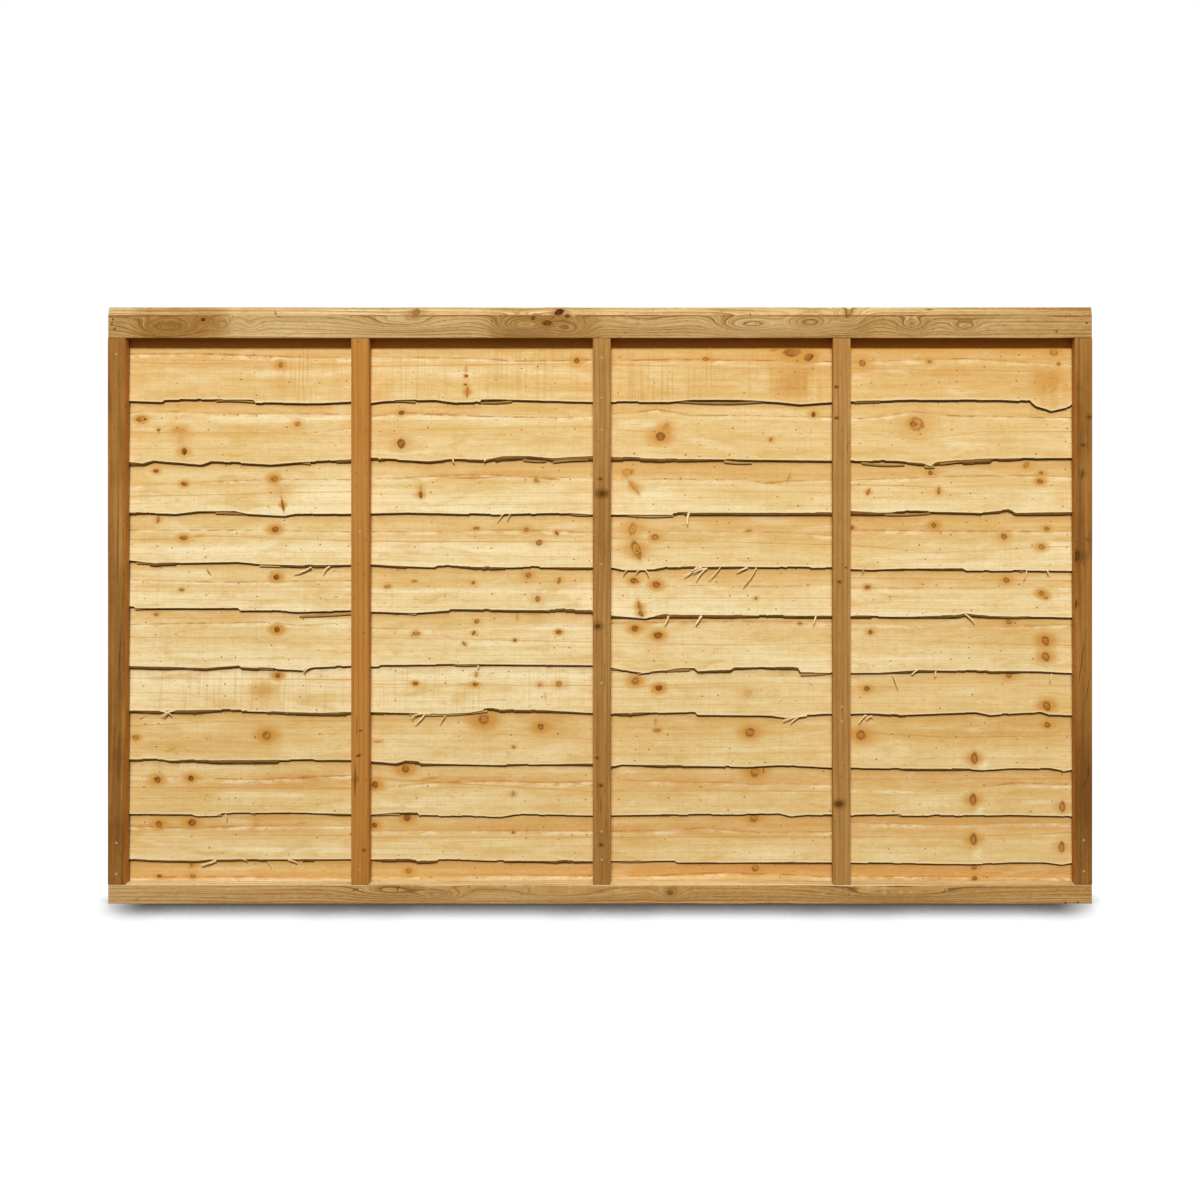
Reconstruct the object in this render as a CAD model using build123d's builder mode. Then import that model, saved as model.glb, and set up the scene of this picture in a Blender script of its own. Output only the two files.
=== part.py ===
"""Waney lap fence panel: eleven overlapping boards with wavy lower edges, held between front and back battens.

The frame: X runs along the panel, the front faces -Y and Z is up. The origin is the middle of the
panel's foot. Lengths are in millimetres. The boards lean, each with its lower edge forward over the
top of the next one down. A grooved rail closes the top and another one the bottom, and nails hold it all.
"""

from build123d import *
import math
import os

# Overall size
PANEL_WIDTH = 1828.0
PANEL_HEIGHT = 1107.0

# Upright battens, one set in front of the boards and one behind
BATTEN_WIDTH = 33.0
BATTEN_DEPTH = 17.0

# Rails: their heights, the grooves for the boards and the weathered slopes on the top one
TOP_RAIL_HEIGHT = 57.0
TOP_GROOVE_DEPTH = 41.0
SLOPE_RISE = 15.5
SLOPE_RUN = 4.0
BOTTOM_RAIL_HEIGHT = 35.0
BOTTOM_GROOVE_DEPTH = 15.0
RAIL_SETBACK = 1.0

# Boards
BOARD_THICKNESS = 5.0
BOARD_SETBACK = 2.0
LAP = 20.0
EDGE_DROP = 13.0
SIDE_FIT = 0.1
LAP_FIT = 0.3
TOP_GROOVE_FIT = 2.0
BOTTOM_GROOVE_FIT = 1.0

# Nails
NAIL_RADIUS = 1.3
NAIL_LENGTH = 40.0
HEAD_RADIUS = 2.3
HEAD_THICKNESS = 1.2
NAIL_FIT = 0.05
TIP_FIT = 1.0
NAIL_ABOVE_LAP = 12.0
BACK_NAIL_OFFSET = 8.0
FOOT_NAIL_HEIGHT = 8.0

# The side of the panel that a piece or a nail's head is on
FRONT = -1
BACK = 1

# Each upright's name and how far it stands off its even place along the panel
UPRIGHT_DRIFT = 3.0
UPRIGHTS = (
    ("left_end", 0.0),
    ("left", UPRIGHT_DRIFT),
    ("middle", UPRIGHT_DRIFT),
    ("right", 0.0),
    ("right_end", 0.0),
)

# How much of each board shows, from the top one down, as parts of the height between the rails
COURSES = (116, 110, 101, 99, 86, 103, 84, 96, 95, 87, 37)

# The wavy lower edge of each board: how far along it in percent, and how far below its course line
WANEY_EDGES = (
    (
        (0, 0), (2, 0), (5, 2), (5.3, -2), (14.4, -2), (14.6, 3.5), (21.4, 4.5), (24.4, 1), (26.5, 3.5),
        (28, 0), (33, -2), (35.2, 3.5), (37.6, 3.5), (37.8, -2), (41, -2), (49, 2), (57, 2), (59.4, -2),
        (64.3, -2), (68, 2), (70.4, 6.5), (73.7, 2), (82, -2), (91, -2), (94, 1), (94.6, 9.5),
        (95.7, 15), (96.2, 18.5), (97.1, 15), (98.1, 11), (98.5, 3.5), (100, 2),
    ),
    (
        (0, 2), (3, 7.5), (4.1, 2), (9, 9.5), (10, 3.5), (12.5, 5.5), (16.2, 9.5), (18.8, 5.5),
        (24.4, 0), (27.6, -1), (32.4, 3.5), (34.8, -1), (38.2, 1), (40, -5.5), (42.8, -6), (45, -2),
        (49, -5.5), (56, -1), (63.6, 0), (73.7, 2), (80.5, 3.5), (83.1, 7.5), (83.8, 13), (84.4, 5.5),
        (86.3, 2), (92, -2), (100, -3.5),
    ),
    (
        (0, -2), (6.4, 1.5), (8.8, -3.5), (12.5, -3.5), (13.8, 1.5), (17.7, 5.5), (18.7, 2),
        (24.4, 1.5), (30.3, -1), (40, 3), (47, 0), (49, 3), (57.3, 3.5), (57.5, 0), (73.7, 0),
        (75.7, -3), (78.6, 0), (82.3, -3.5), (89.3, 0), (92, -4.5), (92.6, 0), (100, -2),
    ),
    (
        (0, -11), (1.7, -10.5), (4.2, -5), (12.7, -7.5), (15, -3.5), (19, -1), (26.5, -3), (29, 0),
        (33, 2.5), (33.3, -0.5), (38, 2.5), (51, 2.5), (52.4, 7.5), (55.4, 7.5), (56.8, 2.5),
        (64, 1), (73.7, 3.5), (77.7, 7.5), (81.2, 4.5), (87.1, 4.5), (87.5, 9), (100, 9),
    ),
    (
        (0, -10.5), (2, -10.5), (2.3, -7), (12.8, -7.5), (13, -3), (16, -3), (18.8, 0), (24.4, -2),
        (31, 2), (34.4, -3), (34.6, -5.5), (42, -3.5), (49, -3), (50.3, 5.5), (54.5, 12.5), (56.5, 5.5),
        (73.7, 7.5), (81.7, 9), (86, 7), (87.5, 3), (89.6, 7.5), (100, 10.5),
    ),
    (
        (0, -2), (7.2, 0.5), (9.5, 2), (12.9, -3), (13.1, 0.5), (19.3, 5.5), (20.5, 0.5), (24.4, -2.5),
        (27.2, -1), (27.4, -4), (37, -5.5), (49, -3.5), (51.4, 2), (53, 8.5), (54.2, 11), (56.5, 7),
        (57.7, 2.5), (59.6, 2.5), (59.9, 7.5), (63.3, 5.5), (63.7, 0.5), (70.2, 0.5), (70.5, 10.5),
        (78.6, 10.5), (82.6, 5.5), (88, 7.5), (94.6, 7.5), (100, 12.5),
    ),
    (
        (0, -3), (4.6, -2), (13, -4.5), (13.3, -1.5), (21.3, 2), (26.5, 0), (33.8, 3.5), (36.7, 1),
        (38.4, -4.5), (44.5, -3), (51, 3.5), (59.7, 0), (59.9, 5), (67.5, 6.5), (69, 11), (71.2, 5),
        (77.7, 2), (80.8, 5.5), (88.5, 0), (90, 5.5), (92.7, 2), (95.2, 0), (96, 5.5), (100, 6.5),
    ),
    (
        (0, -7.5), (5, -7.5), (5.7, -5), (24.4, -6.5), (29, 0), (30, -5), (31.3, -3.5), (31.5, 0),
        (39, 3), (49, 0.5), (51, 6.5), (52.2, 2), (65, 6.5), (68.3, 3), (73.7, 7.5), (88.2, 11),
        (89.4, 12.5), (92, 8.5), (96, 9.5), (97.5, 14.5), (98.3, 12), (100, 11),
    ),
    (
        (0, -1), (8, 0), (8.6, 3.5), (10.6, 3), (11.2, -2), (18.4, -3.5), (26.5, 1), (29, -3),
        (31.2, -3), (31.4, 2.5), (39.8, 4.5), (41.3, 0), (49, 2), (65, 0), (68.3, -2), (69.5, 3.5),
        (71, 1), (75.7, 2.5), (80.7, -0.5), (80.9, 2.5), (88.2, 2.5), (92, 1), (100, 4.5),
    ),
    (
        (0, -3.5), (5.5, -0.5), (8.8, 0), (10, -2), (24.4, -3), (31, -2), (31.2, 1), (33.2, -0.5),
        (33.4, -3), (40, 0), (49, 1), (57.6, -0.5), (57.8, 3), (73.7, 3), (89, 6), (92, 2.5),
        (95.5, 2.5), (97.3, 7), (98.4, 3.5), (100, 3),
    ),
    ((0, 0), (100, 0)),
)

# Nails that show on the front battens: their heights between the rails, in percent from the foot
FRONT_NAILS = {
    "left_end": (97.0, 7.7, 2.0),
    "left": (64.6, 2.8),
    "middle": (96.4, 89.1, 83.2, 58.6, 36.9, 9.8, 4.6),
    "right": (32.6, 29.9),
    "right_end": (8.2, 2.5),
}

# Nails through the top rail: which end, how far in from it, and how far above the rail's underside
TOP_RAIL_NAILS = ((-1, 9.0, 35.0), (-1, 7.0, 27.0), (-1, 12.0, 17.0), (1, 66.0, 13.0), (1, 10.0, 28.0))

# The bay between the rails
bay_foot = BOTTOM_RAIL_HEIGHT
bay_head = PANEL_HEIGHT - TOP_RAIL_HEIGHT
bay_height = bay_head - bay_foot
course_heights = [bay_height * part / sum(COURSES) for part in COURSES]
course_lines = [bay_head - sum(course_heights[: i + 1]) for i in range(len(COURSES))]

# The space between the battens, just wide enough for the boards to pass each other where they lap
smallest_course = min(course_heights[:-1])
steepest = (BOARD_THICKNESS + LAP_FIT) / smallest_course
lean_room = steepest * (smallest_course + LAP + EDGE_DROP)
board_space = BOARD_THICKNESS + 2 * SIDE_FIT + lean_room
panel_depth = 2 * BATTEN_DEPTH + board_space

# Where the uprights stand
batten_span = PANEL_WIDTH - BATTEN_WIDTH
uprights = {
    name: batten_span * (place / (len(UPRIGHTS) - 1) - 0.5) + offset
    for place, (name, offset) in enumerate(UPRIGHTS)
}


def nail_plane(x, z, side):
    """The plane on the panel's face where a nail's head lies, facing out of the wood."""
    return Plane(origin=(x, side * panel_depth / 2, z), x_dir=(1, 0, 0), z_dir=(0, side, 0))


def add_nails(places):
    """Adds a nail at each place (x, z, side) to the part being built."""
    for place in places:
        with Locations(nail_plane(*place)):
            Cylinder(NAIL_RADIUS, NAIL_LENGTH, align=(Align.CENTER, Align.CENTER, Align.MAX))
            Cylinder(HEAD_RADIUS, HEAD_THICKNESS, align=(Align.CENTER, Align.CENTER, Align.MAX))


def cut_nail_holes(places):
    """Cuts the hole and the head's pocket of each nail out of the part being built."""
    for place in places:
        with Locations(nail_plane(*place)):
            Cylinder(
                NAIL_RADIUS + NAIL_FIT,
                NAIL_LENGTH + TIP_FIT,
                align=(Align.CENTER, Align.CENTER, Align.MAX),
                mode=Mode.SUBTRACT,
            )
            Cylinder(
                HEAD_RADIUS + NAIL_FIT,
                HEAD_THICKNESS,
                align=(Align.CENTER, Align.CENTER, Align.MAX),
                mode=Mode.SUBTRACT,
            )


def nails_between(places, low, high):
    """The nails whose shanks lie between two heights."""
    return [place for place in places if low < place[1] < high]


# Every nail's place. The back nails hold each board at each upright, above the lap.
board_feet = course_lines[:-1] + [bay_foot - BOTTOM_GROOVE_DEPTH + BOTTOM_GROOVE_FIT]
back_nail_places = {
    name: [(x + BACK_NAIL_OFFSET, foot + LAP + NAIL_ABOVE_LAP, BACK) for foot in board_feet]
    for name, x in uprights.items()
}
front_nail_places = {
    name: [(uprights[name], bay_foot + bay_height * height / 100, FRONT) for height in heights]
    for name, heights in FRONT_NAILS.items()
}
rail_half = PANEL_WIDTH / 2 - RAIL_SETBACK
top_rail_nails = [(end * (rail_half - inset), bay_head + rise, FRONT) for end, inset, rise in TOP_RAIL_NAILS]
bottom_rail_nails = [(x, bay_foot - FOOT_NAIL_HEIGHT, BACK) for x in uprights.values()]
all_nail_places = [
    *sum(back_nail_places.values(), []),
    *sum(front_nail_places.values(), []),
    *top_rail_nails,
    *bottom_rail_nails,
]

os.makedirs("parts", exist_ok=True)

# Top rail: grooved underneath for the highest board, with a steep weathered slope on each side
with BuildPart() as top_rail:
    with BuildSketch(Plane.YZ) as top_section:
        with Locations((0, bay_head)):
            Rectangle(panel_depth, TOP_RAIL_HEIGHT, align=(Align.CENTER, Align.MIN))
            Rectangle(board_space, TOP_GROOVE_DEPTH, align=(Align.CENTER, Align.MIN), mode=Mode.SUBTRACT)
        chamfer(
            top_section.vertices().group_by(Axis.Y)[-1],
            length=SLOPE_RUN,
            length2=SLOPE_RISE,
            reference=top_section.edges().sort_by(Axis.Y)[-1],
        )
    extrude(amount=rail_half, both=True)
    cut_nail_holes(top_rail_nails)
top_rail.part.label = "top_rail"
export_step(top_rail.part, "parts/top_rail.step")

# Bottom rail: grooved on top for the lowest board, with a flat ledge on each side for the battens
with BuildPart() as bottom_rail:
    with BuildSketch(Plane.YZ):
        Rectangle(panel_depth, BOTTOM_RAIL_HEIGHT, align=(Align.CENTER, Align.MIN))
        with Locations((0, bay_foot)):
            Rectangle(
                board_space, BOTTOM_GROOVE_DEPTH, align=(Align.CENTER, Align.MAX), mode=Mode.SUBTRACT
            )
    extrude(amount=rail_half, both=True)
    cut_nail_holes(bottom_rail_nails)
bottom_rail.part.label = "bottom_rail"
export_step(bottom_rail.part, "parts/bottom_rail.step")

# Battens: an upright in front of the boards and one behind them, at each place
for side, side_name in ((FRONT, "front"), (BACK, "back")):
    for name, x in uprights.items():
        with BuildPart() as batten:
            with Locations((x, side * (panel_depth - BATTEN_DEPTH) / 2, bay_foot)):
                Box(
                    BATTEN_WIDTH,
                    BATTEN_DEPTH,
                    bay_height,
                    align=(Align.CENTER, Align.CENTER, Align.MIN),
                )
            cut_nail_holes(back_nail_places[name] + front_nail_places[name])
        batten.part.label = f"{side_name}_batten_{name}"
        export_step(batten.part, f"parts/{batten.part.label}.step")

# Boards: each leans back from its wavy lower edge to its straight top edge behind the board above
board_heads = [bay_head + TOP_GROOVE_DEPTH - TOP_GROOVE_FIT] + [line + LAP for line in course_lines[:-1]]
board_length = PANEL_WIDTH - 2 * BOARD_SETBACK
for number, (head, foot, edge) in enumerate(zip(board_heads, board_feet, WANEY_EDGES), start=1):
    lean = math.atan(min(steepest, lean_room / (head - foot + EDGE_DROP)))
    head_y = (board_space - BOARD_THICKNESS) / 2 - SIDE_FIT
    face = Plane(
        origin=(0, head_y, head),
        x_dir=(1, 0, 0),
        z_dir=(0, -math.cos(lean), math.sin(lean)),
    )
    slant = 1 / math.cos(lean)
    wavy = [
        (board_length * (along / 100 - 0.5), (foot - drop - head) * slant) for along, drop in edge
    ]
    with BuildPart() as board:
        with BuildSketch(face):
            with BuildLine():
                Polyline((board_length / 2, 0), (-board_length / 2, 0), *wavy, close=True)
            make_face()
        extrude(amount=BOARD_THICKNESS / 2, both=True)
        cut_nail_holes(nails_between(all_nail_places, foot - EDGE_DROP, head))
    board.part.label = f"board_{number:02d}"
    export_step(board.part, f"parts/{board.part.label}.step")

# Nails, in groups of like ones
with BuildPart() as board_nails:
    add_nails(sum(back_nail_places.values(), []))
board_nails.part.label = "board_nails"
export_step(board_nails.part, "parts/board_nails.step")

with BuildPart() as batten_nails:
    add_nails(sum(front_nail_places.values(), []))
batten_nails.part.label = "batten_nails"
export_step(batten_nails.part, "parts/batten_nails.step")

with BuildPart() as rail_nails:
    add_nails(top_rail_nails + bottom_rail_nails)
rail_nails.part.label = "rail_nails"
export_step(rail_nails.part, "parts/rail_nails.step")
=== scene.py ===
"""Waney lap fence panel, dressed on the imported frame.

X runs along the panel, its front faces -Y and Z is up, in metres. Places that come from the photograph
are in its pixels, 1200 on each side, and PhotoView turns them into places on the panel.
"""

import logging
import math
import random
from collections.abc import Iterable, Sequence
from dataclasses import dataclass, field
from enum import Enum

import bmesh
import bpy
import numpy as np
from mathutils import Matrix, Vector
from mathutils.bvhtree import BVHTree


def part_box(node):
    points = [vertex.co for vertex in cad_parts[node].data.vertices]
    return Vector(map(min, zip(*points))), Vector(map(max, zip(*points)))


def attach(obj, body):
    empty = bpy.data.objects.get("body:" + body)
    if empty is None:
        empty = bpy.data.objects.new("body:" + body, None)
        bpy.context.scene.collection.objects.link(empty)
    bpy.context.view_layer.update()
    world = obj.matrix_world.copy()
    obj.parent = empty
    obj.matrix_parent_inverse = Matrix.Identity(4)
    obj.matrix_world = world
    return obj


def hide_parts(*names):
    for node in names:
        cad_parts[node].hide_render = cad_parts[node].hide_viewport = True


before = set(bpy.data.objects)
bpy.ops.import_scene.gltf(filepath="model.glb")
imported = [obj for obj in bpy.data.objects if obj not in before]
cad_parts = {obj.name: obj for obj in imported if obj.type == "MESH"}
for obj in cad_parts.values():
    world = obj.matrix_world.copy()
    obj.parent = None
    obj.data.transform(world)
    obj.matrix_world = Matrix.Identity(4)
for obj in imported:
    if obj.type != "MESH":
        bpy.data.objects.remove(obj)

log = logging.getLogger("fence_panel")

BODY = "root"


class Slot(Enum):
    """The record's material slots."""

    RAIL = "rail_timber"
    BATTEN = "batten_timber"
    BOARD = "waney_board"
    NAIL = "nail_steel"


class Side(Enum):
    """The side of the panel that a batten is on."""

    FRONT = "front"
    BACK = "back"


def paint(red: int, green: int, blue: int) -> tuple[float, float, float, float]:
    """Gives a screen colour of 0 to 255 as the linear colour that a socket takes.

    Args:
        red: The red part.
        green: The green part.
        blue: The blue part.

    Returns:
        The linear red, green and blue with an alpha of 1.
    """
    parts = [part / 255 for part in (red, green, blue)]
    linear = [part / 12.92 if part <= 0.04045 else ((part + 0.055) / 1.055) ** 2.4 for part in parts]
    return (*linear, 1.0)


@dataclass(frozen=True)
class PhotoView:
    """How the photograph looks at the panel.

    The camera looks straight along +Y. The front plane is the one that the battens' faces lie in.
    """

    pixels: float = 1200.0
    centre_x: float = 680.0
    centre_y: float = 390.0
    pixel: float = 0.0018552
    distance: float = 2.18
    camera_x: float = 0.1484
    camera_z: float = 0.9534
    front: float = -0.0233
    lens: float = 35.25
    sensor: float = 36.0

    def x_at(self, pixel_x: float, depth: float = 0.0) -> float:
        """Gives the panel's x of a pixel's column at a depth behind the front plane."""
        return self.camera_x + (pixel_x - self.centre_x) * self.pixel * (1 + depth / self.distance)

    def z_at(self, pixel_y: float, depth: float = 0.0) -> float:
        """Gives the panel's height of a pixel's row at a depth behind the front plane."""
        return self.camera_z + (self.centre_y - pixel_y) * self.pixel * (1 + depth / self.distance)


VIEW = PhotoView()


class SmoothNoise:
    """A seeded field of smooth bumps over two directions, between -1 and 1."""

    def __init__(self, seed: int) -> None:
        """Fills the field from a seed."""
        self.field = np.random.default_rng(seed).random((128, 128)) * 2 - 1

    def at(self, u: np.ndarray, v: np.ndarray | float = 0.0) -> np.ndarray:
        """Reads the field.

        Args:
            u: Where to read it in one direction, in bumps.
            v: Where to read it in the other.

        Returns:
            The field's values there.
        """
        u, v = np.broadcast_arrays(np.asarray(u, float), np.asarray(v, float))
        left, low = np.floor(u).astype(int), np.floor(v).astype(int)
        across, up = u - left, v - low
        across, up = across * across * (3 - 2 * across), up * up * (3 - 2 * up)

        def corner(right: int, high: int) -> np.ndarray:
            """Gives the field at one corner of each cell."""
            return self.field[(left + right) % 128, (low + high) % 128]

        foot = corner(0, 0) * (1 - across) + corner(1, 0) * across
        head = corner(0, 1) * (1 - across) + corner(1, 1) * across
        return foot * (1 - up) + head * up


@dataclass(frozen=True)
class Knot:
    """A knot, a knot's streak or a resin mark, at its place on the photograph.

    The ratio is its length over its width, and the slant turns its length up from level, in degrees.
    A shade of 1 is nearly black brown and 0 only a faint stain. The glow is how far its stain spreads.
    """

    x: float
    y: float
    radius: float
    ratio: float = 1.0
    slant: float = 0.0
    shade: float = 0.55
    glow: float = 1.0


@dataclass(frozen=True)
class Splinter:
    """A loose sliver at a board's lower edge, from its root to its tip on the photograph, and its width.

    A hanging one lifts off the wood at its tip. A slat is a length of torn edge that stays set back in it.
    """

    root_x: float
    root_y: float
    tip_x: float
    tip_y: float
    width: float = 1.5
    slat: bool = False
    pale: float = 0.85


@dataclass(frozen=True)
class Streak:
    """A soft level band on a board: its middle on the photograph, its half sizes, how much paler and how much
    redder than the wood round it."""

    x: float
    y: float
    half_length: float
    half_height: float
    pale: float = 0.0
    warm: float = 0.0


class NodeBench:
    """Adds and joins the nodes of one tree."""

    def __init__(self, tree: bpy.types.NodeTree) -> None:
        """Takes the tree to work on."""
        self.tree = tree

    def feed(self, socket: bpy.types.NodeSocket, value: object) -> None:
        """Links a socket to an output, or sets its value."""
        if isinstance(value, bpy.types.NodeSocket):
            self.tree.links.new(value, socket)
        else:
            socket.default_value = value

    def add(self, kind: str, feeds: dict[str | int, object] | None = None,
            **settings: object) -> bpy.types.Node:
        """Adds a node.

        Args:
            kind: Blender's name for the node type.
            feeds: What goes into its sockets.
            settings: Its own settings.

        Returns:
            The new node.
        """
        node = self.tree.nodes.new(kind)
        for name, value in settings.items():
            setattr(node, name, value)
        for socket, value in (feeds or {}).items():
            self.feed(node.inputs[socket], value)
        return node

    def sum(self, operation: str, *terms: object, clamp: bool = False) -> bpy.types.NodeSocket:
        """Gives the result of a Math node."""
        feeds = dict(enumerate(terms))
        return self.add("ShaderNodeMath", feeds, operation=operation, use_clamp=clamp).outputs[0]

    def plus(self, left: object, right: object, clamp: bool = False) -> bpy.types.NodeSocket:
        """Gives the sum of two values."""
        return self.sum("ADD", left, right, clamp=clamp)

    def minus(self, left: object, right: object, clamp: bool = False) -> bpy.types.NodeSocket:
        """Gives one value less another."""
        return self.sum("SUBTRACT", left, right, clamp=clamp)

    def times(self, left: object, right: object, clamp: bool = False) -> bpy.types.NodeSocket:
        """Gives the product of two values."""
        return self.sum("MULTIPLY", left, right, clamp=clamp)

    def about(self, value: object, reach: object) -> bpy.types.NodeSocket:
        """Gives how far a value of 0 to 1 lies from a half, times a reach."""
        return self.times(self.minus(value, 0.5), reach)

    def arrow(self, operation: str, *terms: object) -> bpy.types.NodeSocket:
        """Gives the vector result of a Vector Math node."""
        return self.add("ShaderNodeVectorMath", dict(enumerate(terms)), operation=operation).outputs[0]

    def split(self, vector: object) -> list[bpy.types.NodeSocket]:
        """Gives the three parts of a vector."""
        return list(self.add("ShaderNodeSeparateXYZ", {0: vector}).outputs)

    def join(self, x: object, y: object, z: object = 0.0) -> bpy.types.NodeSocket:
        """Gives the vector of three parts."""
        return self.add("ShaderNodeCombineXYZ", {0: x, 1: y, 2: z}).outputs[0]

    def span(self, value: object, low: float, high: float, start: float = 0.0, end: float = 1.0,
             smooth: bool = True) -> bpy.types.NodeSocket:
        """Maps a range of a value to another range.

        Args:
            value: The value.
            low: Where the range starts.
            high: Where it ends.
            start: What the low end becomes.
            end: What the high end becomes.
            smooth: Whether it eases in and out.

        Returns:
            The mapped value, held at the range's ends.
        """
        feeds = {0: value, 1: low, 2: high, 3: start, 4: end}
        kind = "SMOOTHSTEP" if smooth else "LINEAR"
        return self.add("ShaderNodeMapRange", feeds, interpolation_type=kind).outputs[0]

    def blend(self, share: object, low: object, high: object, mode: str = "MIX") -> bpy.types.NodeSocket:
        """Mixes two colours by a share."""
        feeds = {0: share, 6: low, 7: high}
        node = self.add("ShaderNodeMix", feeds, data_type="RGBA", blend_type=mode, clamp_factor=True)
        return node.outputs[2]

    def noise(self, place: object, scale: float = 1.0, detail: float = 2.0, rough: float = 0.5,
              distortion: float = 0.0) -> bpy.types.NodeSocket:
        """Gives the value of a Noise Texture, about 0.5."""
        feeds = {"Vector": place, "Scale": scale, "Detail": detail, "Roughness": rough,
                 "Distortion": distortion}
        return self.add("ShaderNodeTexNoise", feeds).outputs["Fac"]

    def ramp(self, value: object, stops: Sequence[tuple[float, tuple]]) -> bpy.types.NodeSocket:
        """Gives the colour of a Color Ramp with these stops."""
        node = self.add("ShaderNodeValToRGB", {0: value})
        elements = node.color_ramp.elements
        while len(elements) < len(stops):
            elements.new(0.5)
        for element, (place, colour) in zip(elements, sorted(stops)):
            element.position = place
            element.color = colour
        return node.outputs[0]

    def attribute(self, name: str) -> bpy.types.Node:
        """Adds a node that reads one of the piece's own attributes."""
        return self.add("ShaderNodeAttribute", attribute_name=name, attribute_type="GEOMETRY")

    def value(self, name: str) -> bpy.types.NodeSocket:
        """Gives the number that one of the piece's own attributes holds."""
        return self.attribute(name).outputs["Fac"]

    def group(self, tree: bpy.types.NodeTree, feeds: dict[str, object]) -> bpy.types.Node:
        """Places a node group with its own values."""
        node = self.tree.nodes.new("ShaderNodeGroup")
        node.node_tree = tree
        for name, value in feeds.items():
            self.feed(node.inputs[name], value)
        return node


class GroupBench(NodeBench):
    """A new shader node group with named inputs and outputs."""

    def __init__(self, name: str, inputs: dict[str, tuple[str, object]], outputs: Iterable[str]) -> None:
        """Makes the group.

        Args:
            name: The group's name.
            inputs: Each input's name, with its socket type and its first value.
            outputs: The names of its outputs, all of them numbers.
        """
        super().__init__(bpy.data.node_groups.new(name, "ShaderNodeTree"))
        for label, (kind, value) in inputs.items():
            socket = self.tree.interface.new_socket(label, in_out="INPUT", socket_type=f"NodeSocket{kind}")
            socket.default_value = value
        for label in outputs:
            self.tree.interface.new_socket(label, in_out="OUTPUT", socket_type="NodeSocketFloat")
        self.given = self.tree.nodes.new("NodeGroupInput").outputs
        self.result = self.tree.nodes.new("NodeGroupOutput").inputs


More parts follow.
